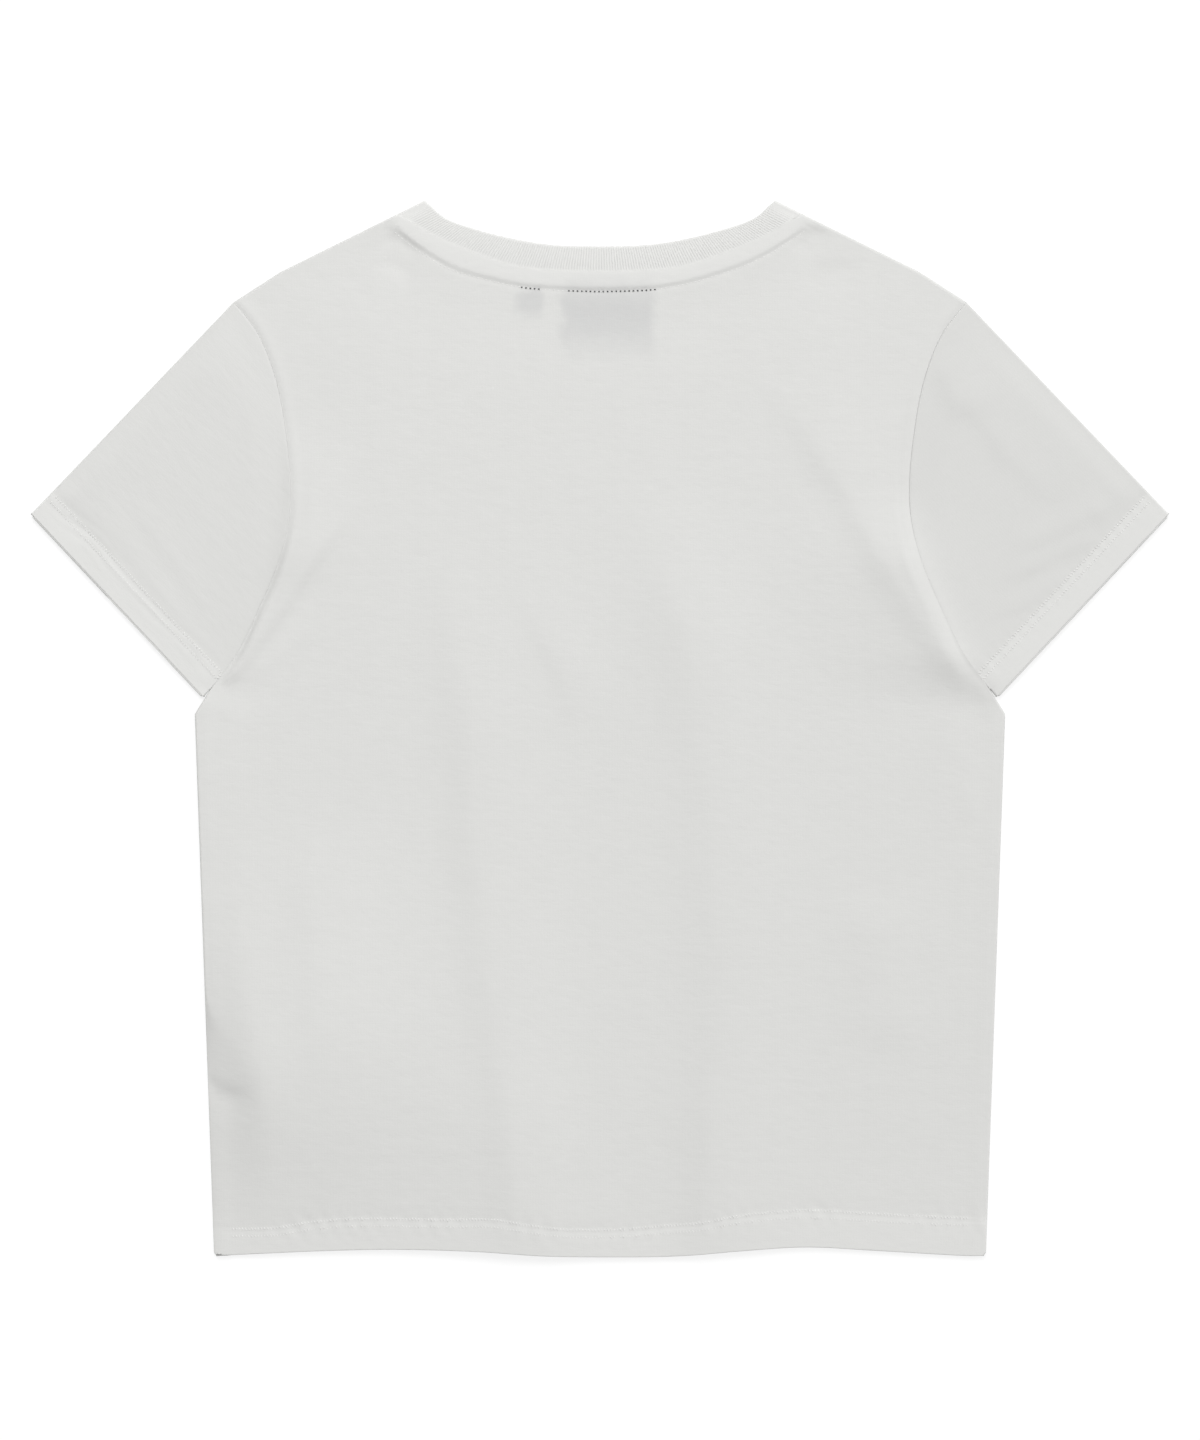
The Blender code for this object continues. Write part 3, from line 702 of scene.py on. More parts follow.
# the seams' bulk lifts both sides of the lower armhole: a bell over the body, and over the sleeve
# a slope that starts at the seam and dies away by a power of e
def armRise(plan, distance, onSleeve):
    total = 0
    for side, sign in (("left", -1), ("right", 1)):
        lift, start, full, less, end, sleeveReach, bodyReach = back["armRise"][side]
        weight = eased((start - plan[..., 1]) / (start - full))
        weight *= eased((plan[..., 1] - end) / (less - end))
        fall = np.exp(-distance / sleeveReach) if onSleeve else bell(distance, bodyReach)
        total = total + lift * weight * fall * (sign * plan[..., 0] > 0)
    return total


# pull of the armhole seam on the cloth, which both sides of it share: a narrow groove that opens
# into a soft dip towards the underarm. The height is drawn to the seam's by a bell of the distance.
def atArmSeam(plan, distance, top):
    tip = 1 - eased((plan[..., 1] - back["tipFrom"]) / back["tipRun"])
    height = back["armSeam"] + (back["tipSeam"] - back["armSeam"]) * tip
    width = back["armGroove"] + (back["tipGroove"] - back["armGroove"]) * tip
    return top + (height - top) * bell(distance, width)


# 1 over the tape below the back neck seam, 0 on the lower face
def tapeShare(plan, side):
    if side < 0:
        return np.zeros(plan.shape[:-1])
    distance = bandDistance(plan, seamDistances(plan, neckHalf)["neck"])
    return eased((back["topstitch"] - 0.2 - distance) / 1.6)


# run over which the side edge rounds off: long at the lower left corner, which hangs down
def sideRun(plan):
    corner = eased((back["cornerFrom"] - plan[..., 1]) / back["cornerEase"]) * (plan[..., 0] < 0)
    return layers["edgeRun"] + (back["cornerRun"] - layers["edgeRun"]) * corner


# outside of the back: its loft and folds over the front, raised over hem, neck tape and armhole
# seams, and rounded down to where the faces meet along the sides and shoulders
def backHeight(plan):
    near = seamDistances(plan, neckHalf)
    free = clearOf(near, side=back["sideLoftRun"], shoulder=back["loftRun"], arm=back["loftRun"])
    free *= eased((near["neck"] - 10) / back["loftRun"])
    hem = back["hemLoft"] + (1 - back["hemLoft"]) * eased(near["hem"] / 90)
    clear = clearOf(near, side=16, arm=12, shoulder=16)
    lift = back["loft"] * free + foldsAt(plan, backFolds) * clear
    lift += back["uneven"] * unevenness(plan, 48.0, 3) * clear
    rise = hemRise(hemShare(plan), aboveRow(plan), back["hemRise"])
    top = layers["top"] + layers["hemTop"] * rise
    armClear = np.where(plan[..., 0] < 0, *back["armClear"])
    top += lift * hem + foldsAt(plan, dragFolds) * clearOf(near, arm=armClear, shoulder=5)
    top += foldsAt(plan, cornerFolds)
    top += lineAt(bandLine, bandDistance(plan, near["neck"]))
    top += back["armBead"] * bell(near["arm"] - back["armBeadAt"], back["armBeadWidth"])
    top += back["sideBead"] * eased((back["sideBeadWidth"] - near["side"]) / 4)
    top += hemRelief(plan, 11)
    top = atArmSeam(plan, near["arm"], top) + armRise(plan, near["arm"], False)
    meet = layers["meet"] + layers["hemMeet"] * edgeShare(plan) + layers["apart"]
    rounding = roundOff(near["side"], sideRun(plan)) * roundOff(near["shoulder"], layers["edgeRun"])
    return meet + (top - meet) * rounding


backPanel = bodyPanel("backPanel", neckHalf, backHeight, 1)
place(backPanel, jerseyOverLabels, "jersey", "back_panel", wall=layers["cloth"])
print("back made")

front = {
    "neckBand": 0.35,          # the seam allowance under the front neck lifts its edge
    "armSeam": 0.5,            # and those of the armholes lift the edges there
}
# soft creases of the face that lies down; they rise into the loft under the back
frontFolds = (
    fold(1.5, 14, 18, (-88, 110), (-76, 20), (-66, -80), (-58, -170), (-44, -310), fadeOut=0.1),
    fold(1.4, 18, 12, (40, 100), (58, 30), (68, -80), (72, -170), (66, -310), fadeOut=0.1),
    fold(1.3, 9, 11, (104, 168), (148, 112), (186, 58), (206, 34)),
    fold(1.2, 9, 11, (-120, 140), (-160, 84), (-200, 34)),
    fold(0.9, 14, 20, (-150, -50), (-156, -120), (-150, -190)),
    fold(0.9, 16, 18, (150, -90), (158, -150), (160, -215)),
)


# outside of the front: flat on the surface but for its creases and seam edges, rounded up along
# the sides and shoulders to where the faces meet
def frontHeight(plan):
    near = seamDistances(plan, frontHalf)
    clear = clearOf(near, side=30, arm=24, shoulder=30, hem=40, neck=30)
    low = np.clip(foldsAt(plan, frontFolds) - 0.12, 0, None) * clear
    low += np.clip(0.1 * unevenness(plan, 42.0, 5) - 0.06, 0, None) * clear
    low -= np.minimum(hemRelief(plan, 17), 0) * 0.8
    low += front["neckBand"] * (1 - roundOff(near["neck"], 1.2))
    low += front["armSeam"] * (1 - roundOff(near["arm"], 1.0))
    meet = layers["meet"] + layers["hemMeet"] * edgeShare(plan) - layers["apart"]
    rounding = roundOff(near["side"], layers["edgeRun"]) * roundOff(near["shoulder"], layers["edgeRun"])
    return meet + (low - meet) * rounding


frontPanel = bodyPanel("frontPanel", frontHalf, frontHeight, -1)
place(frontPanel, jerseyCloth, "jersey", "front_panel", wall=layers["cloth"])
print("front made")

sleeve = {
    "side": {"left": -1, "right": 1}, "seed": {"left": 21, "right": 31},
    "columns": 72, "rowStep": 2.6, "fineStep": 0.8,
    "wide": 225.0,             # about from the underarm seam to the fold
    "turnedIn": (0.97, 0.012), # share of this that the turned-in cuff takes, and where it starts
    "leastGap": 0.1,           # the turned-in cuff keeps this far from the middle between the layers
    "hemDepth": 17.5,
    "loft": 1.0, "loftRun": 30.0,
    "cuffRow": 17.0,           # upper stitch row from the cuff's edge
    "cuffRise": (0.15, 31, 18),            # as hemRise of the back
    "uneven": 0.03,
    "pressed": 0.2,            # the fold is pressed this much flatter than the rest
    "groove": 0.05, "pucker": 0.1, "puckerWave": 9.0,   # as those of the hem
    "white": 0.75,             # how much of the doubled cloth's whiteness the cuff shows
}
# routes run downwards, from the shoulder along the fold or from the seam to the cuff
sleeveFolds = {
    "left": (
        fold(1, 20, 34, (-210, 228), (-254, 184), (-312, 126), fadeIn=0.2, fadeOut=0.1),
        fold(-0.5, 9, 9, (-304, 136), (-298, 118), (-292, 104)),
        # long faint creases beside the cuff
        fold(0.5, 6, 9, (-292, 134), (-262, 96), (-238, 62), (-226, 44), fadeOut=0.4),
        fold(0.35, 5, 7, (-272, 138), (-248, 104), (-230, 76), (-222, 54), fadeOut=0.4),
    ),
    "right": (
        fold(0.9, 30, 24, (206, 220), (246, 180), (302, 124), fadeIn=0.25, fadeOut=0.1),
        # short creases below the shoulder, and a fan towards the cuff
        fold(0.8, 8, 20, (188, 214), (200, 196), (208, 172)),
        fold(0.45, 5.5, 12, (196, 198), (216, 178), (240, 150)),
        fold(0.35, 6, 9, (214, 168), (236, 152), (262, 128)),
        fold(0.7, 5, 8, (226, 98), (262, 114), (294, 130), fadeIn=0.4, fadeOut=0.2),
        fold(0.6, 4, 7, (222, 82), (254, 96), (286, 112), fadeIn=0.4, fadeOut=0.2),
        fold(0.4, 4, 7, (216, 62), (244, 74), (272, 90), fadeIn=0.4, fadeOut=0.2),
    ),
}


cuffBottom, cuffTop = np.array(cut["cuffBottom"]), np.array(cut["cuffTop"])
cuffLine = np.vstack([cuffBottom, cuffTop])
cuffWay = (cuffTop - cuffBottom) / np.linalg.norm(cuffTop - cuffBottom)


# points of the armhole seam at shares of its length from the underarm
def armholeAt(shares):
    return pointsAt(shares, np.linspace(0, 1, len(armLine)), armLine)


# distances of plan points on the right sleeve from its fold and underarm seam, armhole and cuff
def sleeveDistances(plan, arm, cuff):
    lines = {"fold": np.vstack([arm[-1], cuffTop]), "under": np.vstack([arm[0], cuffBottom]),
             "arm": arm, "cuff": cuff}
    return {name: nearLine(plan, line)[0] for name, line in lines.items()}


# plan of a sleeve's layer: along its length straight lines from the armhole to the cuff, across
# it from the underarm up to the fold; its distances and its length come with it
def sleevePlan(across, alongMm, side):
    arm = armholeAt(across) + (cut["sleeveGap"], 0)
    cuff = cuffBottom + across[:, None] * (cuffTop - cuffBottom)
    length = np.linalg.norm(cuffTop - arm[-1])
    share = (alongMm / length)[:, None, None]
    plan = arm[None] + share * (cuff - arm)[None]
    return plan * (side, 1), sleeveDistances(plan, arm, cuff[[0, -1]]), length


# the cuff's surface: a shallow groove between its two stitch rows, and small slanting puckers
def cuffRelief(near, plan, seed):
    row = near["cuff"] - sleeve["cuffRow"]
    groove = -sleeve["groove"] * bell(row + body["stitchGap"] / 2, 1.6)
    slant = (plan[..., 0] + plan[..., 1]) / sleeve["puckerWave"]
    pucker = sleeve["pucker"] * np.sin(2 * math.pi * slant + 2 * unevenness(plan, 50.0, seed))
    return groove + pucker * bell(row + body["stitchGap"] / 2, 6.0)


# heights of a sleeve's upper and lower outside, and 1 where its cloth is doubled
def sleeveHeights(plan, near, key):
    seed = sleeve["seed"][key]
    doubled = doubledShare(near["cuff"] - sleeve["cuffRow"])
    free = (0.1 + 0.9 * eased(near["arm"] / 22)) * (0.5 + 0.5 * eased(near["cuff"] / 30))
    free *= eased(near["under"] / sleeve["loftRun"])
    clear = clearOf(near, fold=14, under=10)
    folds = foldsAt(plan, sleeveFolds[key])
    lift = sleeve["loft"] * free + folds * clear * eased(near["arm"] / 8)
    lift += sleeve["uneven"] * unevenness(plan, 36.0, seed) * clear
    rise = hemRise(doubled, near["cuff"], sleeve["cuffRise"])
    top = layers["top"] + layers["hemTop"] * rise + lift + cuffRelief(near, plan, seed + 1)
    top -= sleeve["pressed"] * (1 - eased(near["fold"] / 13))
    top = atArmSeam(plan, near["arm"], top) + armRise(plan, near["arm"], True)
    meet = layers["meet"] + layers["hemMeet"] * doubled
    rounding = roundOff(near["fold"], layers["edgeRun"]) * roundOff(near["under"], layers["edgeRun"])
    upper = meet + (top - meet) * rounding
    low = np.clip(0.5 * folds - 0.15, 0, None) * clear * eased(near["cuff"] / 26)
    low -= np.minimum(cuffRelief(near, plan, seed + 2), 0) * 0.8
    low += front["armSeam"] * (1 - roundOff(near["arm"], 0.9))
    lower = meet + (low - meet) * rounding
    return upper, lower, doubled


# the sleeve as one tube: upper layer from the underarm to the fold, lower layer back again, and
# the cuff turned inside itself
def makeSleeve(name, key, material, node):
    side = sleeve["side"][key]
    near = np.array([0.0, 0.12, 0.35, 0.75, 1.3, 1.9, 2.7, 4.0]) / sleeve["wide"]
    middle = np.linspace(near[-1], 1 - near[-1], sleeve["columns"])
    across = np.concatenate([near[:-1], middle, 1 - near[-2::-1]])
    length = sleevePlan(across, np.array([0.0, 1.0]), side)[2]
    turn = foldPlaces(layers["foldRun"])
    outer = places(length, 2.4, sleeve["hemDepth"] + 8, sleeve["fineStep"], sleeve["rowStep"]) * length
    outer = np.concatenate([outer[outer < length - turn[-1] - 0.3], length - turn[::-1]])
    inner = length - np.concatenate([turn[1:], np.arange(2.0, sleeve["hemDepth"] + 2, 4.0)])
    plan, distances, _ = sleevePlan(across, outer, side)
    upper, lower, doubled = sleeveHeights(plan, distances, key)
    wide, start = sleeve["turnedIn"]
    innerPlan, innerNear, _ = sleevePlan(across * wide + start, inner, side)
    innerUpper, innerLower, innerDoubled = sleeveHeights(innerPlan, innerNear, key)
    meet = layers["meet"] + layers["hemMeet"]
    layersOfTube = []
    for outside, beyond, up in ((upper, innerUpper, 1), (lower, innerLower, -1)):
        stack = up * layers["stack"]
        outside, _ = closeFold(outside, outside - stack, distances["cuff"])
        inside = meet + up * np.maximum(up * (beyond - stack - meet), sleeve["leastGap"])
        _, inside = closeFold(inside + stack, inside, innerNear["cuff"])
        layersOfTube.append(np.vstack([np.dstack([plan, outside]), np.dstack([innerPlan, inside])]))
    top, bottom = layersOfTube
    share = sleeve["white"] * np.vstack([doubled, innerDoubled])
    points = np.concatenate([top, bottom[:, -2:0:-1]], axis=1)
    shares = np.concatenate([share, share[:, -2:0:-1]], axis=1)
    piece = gridMesh(name, points, closeColumns=True, flip=side > 0, attributes={"doubled": shares})
    return place(piece, material, "jersey", node, wall=layers["cloth"])


leftSleeve = makeSleeve("leftSleeve", "left", jerseyLeftPaintedShade, "left_sleeve")
rightSleeve = makeSleeve("rightSleeve", "right", jerseyRightPaintedShade, "right_sleeve")
print("sleeves made")

rib = {
    "backRibs": 154, "frontRibs": 236, "perRib": 6,
    "half": 0.6,               # half the thickness of the doubled rib
    "relief": 0.2,             # depth of a groove between ribs
    "cornerSteps": 12,
    "backLies": 1.95, "frontLies": 0.62,   # heights of the band's middle
    "seamLift": 0.98,          # the band under its seam edge lifts it by this
    "bulge": 0.25,
    "outward": (0.445, 0.896), # the way the folds at the shoulders point
    "drawnBack": 1.27,         # the band's ends are drawn back by this, so that the folds fit
    # shares of the band over which, from its ends, it is drawn back, rises, and its grooves start
    "drawnRun": 0.03, "riseRun": 0.045, "backRun": 0.05, "frontRun": 0.04,
}


# points moved to the left of their line
def insetLine(points, distance):
    along = np.gradient(points, axis=0)
    left = np.column_stack([-along[:, 1], along[:, 0]]) / np.linalg.norm(along, axis=1)[:, None]
    return points + left * distance


# the neck rib: a flat doubled band carried round the neck, folded over at both shoulders. Its
# section is an outside and an inside, square at the seam and rounded at the turned top edge; ribs
# are rectified cosines across the outside
def makeRib():
    steps, frontSteps = rib["backRibs"] * rib["perRib"], rib["frontRibs"] * rib["perRib"]
    seam = insetLine(bothHalves(smoothLine(cut["backNeck"], steps // 2)), cut["seamGap"])
    top = bothHalves(smoothLine(cut["ribTop"], steps // 2))
    frontSeam = bothHalves(ovalArc(cut["ribCorner"], frontSeamDrop, frontSteps // 2))
    frontSeam = evenLine(insetLine(frontSeam, cut["seamGap"]), frontSteps)
    frontTop = bothHalves(ovalArc(cut["neckCorner"], cut["frontDrop"], frontSteps // 2))
    frontTop = evenLine(frontTop, frontSteps)
    across = np.array([0, 0.06, 0.3, 0.8, 1.6, 3.0, 5.0, 7.2, 9.4, 11.4, 12.9, 13.7, 14.2, 14.5])
    across = across / cut["ribWidth"]
    ends = np.minimum(across, 1 - across) * cut["ribWidth"]
    swell = rib["half"] * roundOff((1 - across) * cut["ribWidth"], 0.9)[:, None]

    w = across[:, None]
    backPlan = (1 - w[..., None]) * seam[None] + w[..., None] * top[None]
    frontPlan = (1 - w[..., None]) * frontSeam[None, ::-1] + w[..., None] * frontTop[None, ::-1]
    fromCorner = np.minimum(np.arange(steps + 1), steps - np.arange(steps + 1)) / steps
    rise = eased(fromCorner / rib["riseRun"])[None, :]
    backMiddle = rib["backLies"] + rise * (rib["seamLift"] * (1 - w) + rib["bulge"] * np.sin(math.pi * w))
    frontMiddle = np.full((len(across), frontSteps + 1), rib["frontLies"])

    # ribs: grooves fade out towards the edges of the band and at the shoulder folds
    def grooves(count, fade):
        wave = 1 - np.abs(np.cos(math.pi * np.arange(count * rib["perRib"] + 1) / rib["perRib"]))
        return wave[None, :] ** 1.3 * eased(ends / 1.6)[:, None] * fade[None, :]

    backGroove = grooves(rib["backRibs"], eased(fromCorner / rib["backRun"]))
    frontPlace = np.arange(frontSteps + 1) / frontSteps
    frontFade = eased(np.minimum(frontPlace, 1 - frontPlace) / rib["frontRun"])
    frontGroove = grooves(rib["frontRibs"], frontFade)

    backOut = backMiddle + swell - rib["relief"] * backGroove
    frontOut = np.maximum(frontMiddle - swell, 0.02) + rib["relief"] * 0.8 * frontGroove

    # shoulder folds: both surfaces turn half a circle about the corner's section line
    def corner(backEnd, frontEnd, planEnd, sign):
        angle = np.linspace(0, math.pi, rib["cornerSteps"] + 1)[1:-1][None, :]
        radius = (backEnd - frontEnd)[:, None] / 2
        z = (backEnd + frontEnd)[:, None] / 2 + radius * np.cos(angle)
        push = np.abs(radius) * np.sin(angle)
        return np.dstack([planEnd[:, None, :] + push[..., None] * rib["outward"] * (sign, 1), z])

    # the back band runs from left to right, the front band back again
    for plan, firstSign in ((backPlan, -1), (frontPlan, 1)):
        fromStart = np.arange(plan.shape[1])
        for away, sign in ((fromStart, firstSign), (fromStart[::-1], -firstSign)):
            reach = eased(1 - away * (1 / (steps * rib["drawnRun"])))[None, :, None]
            plan -= reach * rib["drawnBack"] * np.array(rib["outward"]) * (sign, 1)
    sheets = []
    for backZ, frontZ in ((backOut, frontOut), (backMiddle - swell, frontMiddle + swell)):
        right = corner(backZ[:, -1], frontZ[:, 0], backPlan[:, -1], 1)
        left = corner(backZ[:, 0], frontZ[:, -1], backPlan[:, 0], -1)
        sheets.append(np.concatenate([np.dstack([backPlan, backZ]), right, np.dstack([frontPlan, frontZ]),
                                      left[:, ::-1]], axis=1))
    outside, inside = sheets
    points = np.concatenate([outside, inside[-2::-1]], axis=0)
    smooth = np.zeros((len(across), rib["cornerSteps"] - 1))
    groove = np.concatenate([backGroove, smooth, frontGroove, smooth], axis=1)
    groove = np.concatenate([groove, np.zeros((len(across) - 1, groove.shape[1]))], axis=0)
    return gridMesh("neckRib", points, closeRows=True, closeColumns=True, flip=True,
                    attributes={"groove": groove})


neckRib = makeRib()
place(neckRib, ribCloth, "rib", "neck_rib")
print("rib made")

tape = {
    "top": 1.2, "bottom": 10.0,            # distances of its edges from the neck seam
    "under": 1.5, "ripple": 0.05,          # height of its underside, which is a little wavy
    "thickness": 0.9, "columns": 180,
}


# the back neck tape: a strip set off from the neck seam by lines at growing distances
def makeTape():
    seam = evenLine(bothHalves(neckHalf), tape["columns"])[2:-2]
    distances = np.linspace(tape["top"], tape["bottom"], 9)[::-1]
    plan = np.stack([insetLine(seam, -distance) for distance in distances])
    ripple = tape["ripple"] * np.sin(np.arange(plan.shape[1]) * 1.3)[None, :]
    under = np.full(plan.shape[:2], tape["under"]) + ripple
    return gridMesh("backNeckTape", np.dstack([plan, under]), flip=True)


backNeckTape = makeTape()
place(backNeckTape, ribCloth, "tape", "back_neck_tape", wall=tape["thickness"])

blank = {"thickness": 0.35, "sewnAt": 1.42, "hangs": 0.95, "wavy": 0.1}


# a blank label: a strip that leaves the tape's underside and curves down to lie flat, a little
# wavy along its free edge
def makeLabel(name, spot, seed):
    x = np.linspace(spot["left"], spot["right"], 40)
    y = np.linspace(spot["top"] + 2.5, spot["bottom"], 26)
    plan = np.dstack(np.meshgrid(x, y))
    fall = eased((spot["top"] + 1 - plan[..., 1]) / 9)
    height = blank["sewnAt"] - blank["hangs"] * fall + blank["wavy"] * unevenness(plan, 18.0, seed) * fall
    return gridMesh(name, np.dstack([plan, height]))


for name, spot, seed, node in (("mainLabel", mainLabel, 41, "main_label"),
                               ("sizeLabel", sizeLabel, 43, "size_label")):
    place(makeLabel(name, spot, seed), labelCloth, "label", node, wall=blank["thickness"])
print("tape and labels made")

thread = {
    "radius": 0.24, "sides": 6,
    "arch": 0.16, "proud": 0.05,   # how far a stitch's middle rises, and the whole of it
    # pitch, the share of it that shows, and slant: short steep stitches in hem and cuffs
    "cover": (1.8, 0.34, 0.95), "top": (2.45, 0.56, 0.0),
    "hemEnds": 212.0,              # the hem's rows stop at this X, short of the side seams
    "lowerSunk": 0.12,             # the lower row of the coverstitch lies this much deeper
    # lift off the cloth's height on the upper (1) and the lower face (-1)
    "hemLift": {1: -0.06, -1: 0.42}, "cuffLift": {1: 0.0, -1: 0.24},
    "topSunk": 0.14,
    "dotRadius": 0.41, "dotShare": 0.4, "dotLift": 0.28,
}


# rows of stitches as one mesh: each is a bead of thread between two holes, six rings of six
# points, its middle arched up by a sine and its ends thinned and sunk into the cloth
def stitches(name, starts, ends, up, radius, material):
    t = np.array([0.0, 0.12, 0.35, 0.65, 0.88, 1.0])
    thin = np.array([0.25, 0.75, 1.0, 1.0, 0.75, 0.25]) * radius
    angle = 2 * math.pi * np.arange(thread["sides"]) / thread["sides"]
    along = ends - starts
    sideways = np.cross(along, (0, 0, 1.0))
    sideways /= np.linalg.norm(sideways, axis=1)[:, None]
    centre = starts[:, None, :] + t[None, :, None] * along[:, None, :]
    rise = thread["proud"] + thread["arch"] * (np.sin(math.pi * t) - 0.6)
    centre[..., 2] += up * rise[None, :]
    ring = (np.cos(angle)[None, None, :, None] * sideways[:, None, None, :]
            + np.sin(angle)[None, None, :, None] * np.array([0, 0, 1.0]))
    points = centre[:, :, None, :] + thin[None, :, None, None] * ring
    count, rings, sides = len(starts), len(t), thread["sides"]
    number = np.arange(rings * sides).reshape(rings, sides)
    turned = np.roll(number, -1, axis=1)
    quads = np.stack([number[:-1], turned[:-1], turned[1:], number[1:]], axis=2).reshape(-1, 4)
    caps = np.array([[0, 5, 4, 3], [0, 3, 2, 1], [30, 31, 32, 33], [30, 33, 34, 35]])
    faces = np.vstack([quads[:, ::-1], caps[:, ::-1]])
    allFaces = (np.arange(count)[:, None, None] * rings * sides + faces[None]).reshape(-1, 4)
    return place(meshFrom(name, points.reshape(-1, 3), allFaces), material, "jersey")


# start and end of each stitch along a plan line, with heights read from the cloth; a slant moves
# the start to the left of the line and the end to its right
def stitchEnds(line, kind, height, trim):
    pitch, share, slant = kind
    run = runAlong(line)
    count = int((run[-1] - 2 * trim) / pitch)
    first = trim + (run[-1] - 2 * trim - count * pitch) / 2 + np.arange(count) * pitch
    left = np.gradient(line, axis=0) @ np.array([[0.0, 1.0], [-1.0, 0.0]])
    left /= np.linalg.norm(left, axis=1)[:, None]
    ends = []
    for sign in (-1, 1):
        plan = pointsAt(first + pitch * (1 + sign * share) / 2, run, line - sign * slant * left)
        ends.append(np.column_stack([plan, height(plan)]))
    return ends


# sews rows of stitch ends with the white thread; up is +1 on the upper face and -1 on the lower
def sew(name, rows, up):
    starts, ends = (np.vstack(points) for points in zip(*rows))
    return stitches(name, starts, ends, up, thread["radius"], whiteThread)


# a height function of a grid of plan points, used on a row of them
def onRow(height):
    return lambda plan: height(plan[None])[0]


# the plan line at some distance inside the right cuff's edge
def cuffRowLine(inside):
    across = np.linspace(0.03, 0.985, 60)
    cuff = cuffBottom + across[:, None] * (cuffTop - cuffBottom)
    way = armholeAt(across) - cuff
    reach = inside / (way @ (-cuffWay[1], cuffWay[0]))
    return cuff + np.clip(reach, 0, 0.95)[:, None] * way


# the two rows of a coverstitch: how far the row lies below the upper one, and how deep it sinks
coverRows = ((0.0, 0.0), (body["stitchGap"], thread["lowerSunk"]))
hemRow = rowLine[np.abs(rowLine[:, 0]) < thread["hemEnds"]]
for name, height, up in (("backHemStitches", backHeight, 1), ("frontHemStitches", frontHeight, -1)):
    rows = []
    for down, sunk in coverRows:
        lift = (0, 0, thread["hemLift"][up] - up * sunk)
        pair = stitchEnds(hemRow - (0, down), thread["cover"], onRow(height), 1.0)
        rows.append([end + lift for end in pair])
    sew(name, rows, up)

# cuff rows, on both layers of each sleeve
for name, key in (("leftCuffStitches", "left"), ("rightCuffStitches", "right")):
    side = sleeve["side"][key]
    rows = []
    for down, sunk in coverRows:
        line = cuffRowLine(sleeve["cuffRow"] - down) * (side, 1)
        for layer, up in enumerate((1, -1)):
            def height(plan):
                near = sleeveDistances(plan * (side, 1), armLine + (cut["sleeveGap"], 0), cuffLine)
                return sleeveHeights(plan, near, key)[layer]

            lift = (0, 0, thread["cuffLift"][up] - up * 0.7 * sunk)
            rows.append([end + lift for end in stitchEnds(line, thread["cover"], onRow(height), 0.0)])
    sew(name, rows, 1)

# topstitch below the back neck
neckLine = bothHalves(neckHalf)
neckRow = insetLine(neckLine, -lineAt(bandWidth, neckLine[:, 0])[:, None])
starts, ends = stitchEnds(neckRow, thread["top"], onRow(backHeight), 3.0)
neckStitches = sew("neckStitches", [[end - (0, 0, thread["topSunk"]) for end in (starts, ends)]], 1)

# over the labels the dark thread that holds them shows between the white stitches
between = (ends[:-1] + starts[1:]) / 2
overLabel = np.zeros(len(between), bool)
for label in (mainLabel, sizeLabel):
    overLabel |= (between[:, 0] > label["stitched"][0]) & (between[:, 0] < label["stitched"][1])
step = (starts[1:] - ends[:-1])[overLabel] * thread["dotShare"]
dots = between[overLabel] + (0, 0, thread["dotLift"])
labelStitches = stitches("labelStitches", dots - step, dots + step, 1, thread["dotRadius"], darkThread)
print("stitches made")

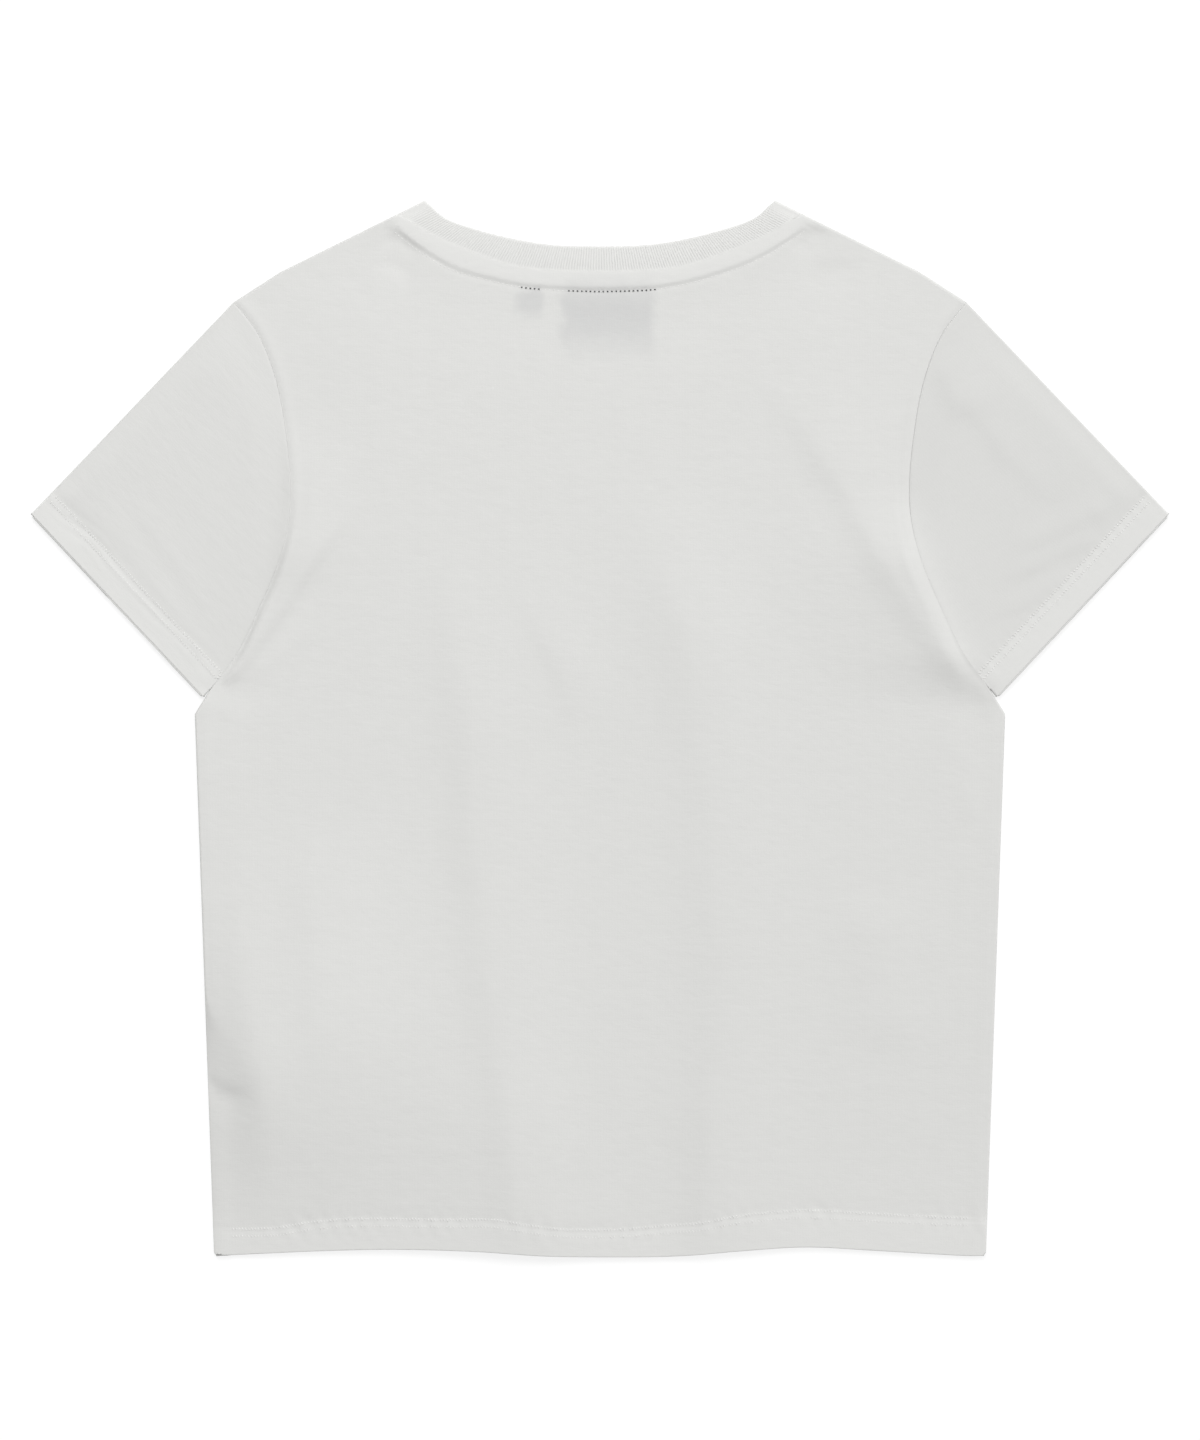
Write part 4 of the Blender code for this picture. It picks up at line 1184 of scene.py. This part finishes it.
# floor, light and camera
studio = {
    "lensMm": 135.0, "sensorMm": 36.0, "frameHighMm": 820.8, "centreMm": (0.0, 4.9),
    "floorHex": "#939393", "floorGlow": 0.72,      # a light table, so that shadows stay pale
    "floorHalfMm": 4000.0, "floorAtMm": -0.1,
    "keyAt": (-0.5, 2.9, 3.6), "keySize": 3.0, "keyPower": 122.0,
    "sunFrom": (1.0, 0.3, 0.8), "sunAngle": 60.0, "sunPower": 1.0,
    "world": 0.54,
}


# Opal acrylic light table: even, pale and a little lit from below.
def lightTable():
    material, tree, shader, position = newMaterial("opalAcrylic")
    grain = noise(tree, position, 600.0, 3.0)["Fac"]
    feed(tree, shader, {
        "Base Color": linear(studio["floorHex"]), "Normal": bump(tree, grain, 0.05, 0.1),
        "Roughness": 0.9, "Specular IOR Level": 0.1,
        "Emission Color": (1.0, 1.0, 1.0, 1.0), "Emission Strength": studio["floorGlow"]})
    return material


half = studio["floorHalfMm"]
floorPoints = np.array([[-half, -half], [half, -half], [half, half], [-half, half]])
floorPoints = np.column_stack([floorPoints, np.full(4, studio["floorAtMm"])])
floor = meshFrom("floor", floorPoints, np.array([[0, 1, 2, 3]]))
floor.data.materials.append(lightTable())


# a lamp that shines from its spot on the middle of the shirt
def addLamp(name, kind, spot, **settings):
    light = bpy.data.lights.new(name, kind)
    for key, value in settings.items():
        setattr(light, key, value)
    lamp = addObject(name, light)
    lamp.location = spot
    lamp.rotation_euler = (-Vector(spot)).to_track_quat("-Z", "Y").to_euler()


addLamp("key", "AREA", studio["keyAt"], shape="DISK", size=studio["keySize"], energy=studio["keyPower"])
addLamp("side", "SUN", studio["sunFrom"], energy=studio["sunPower"],
        angle=math.radians(studio["sunAngle"]))

world = bpy.data.worlds.new("softRoom")
world.use_nodes = True
feed(world.node_tree, world.node_tree.nodes["Background"],
     {"Color": (1.0, 1.0, 1.0, 1.0), "Strength": studio["world"]})
bpy.context.scene.world = world
bpy.context.scene.view_settings.view_transform = "Standard"

camera = bpy.data.cameras.new("camera")
camera.lens = studio["lensMm"]
camera.sensor_width = studio["sensorMm"]
camera.clip_end = 50.0
cameraObject = addObject("camera", camera)
distance = studio["frameHighMm"] * mm * studio["lensMm"] / studio["sensorMm"]
cameraObject.location = (studio["centreMm"][0] * mm, studio["centreMm"][1] * mm, distance)
bpy.context.scene.camera = cameraObject
print("studio made")
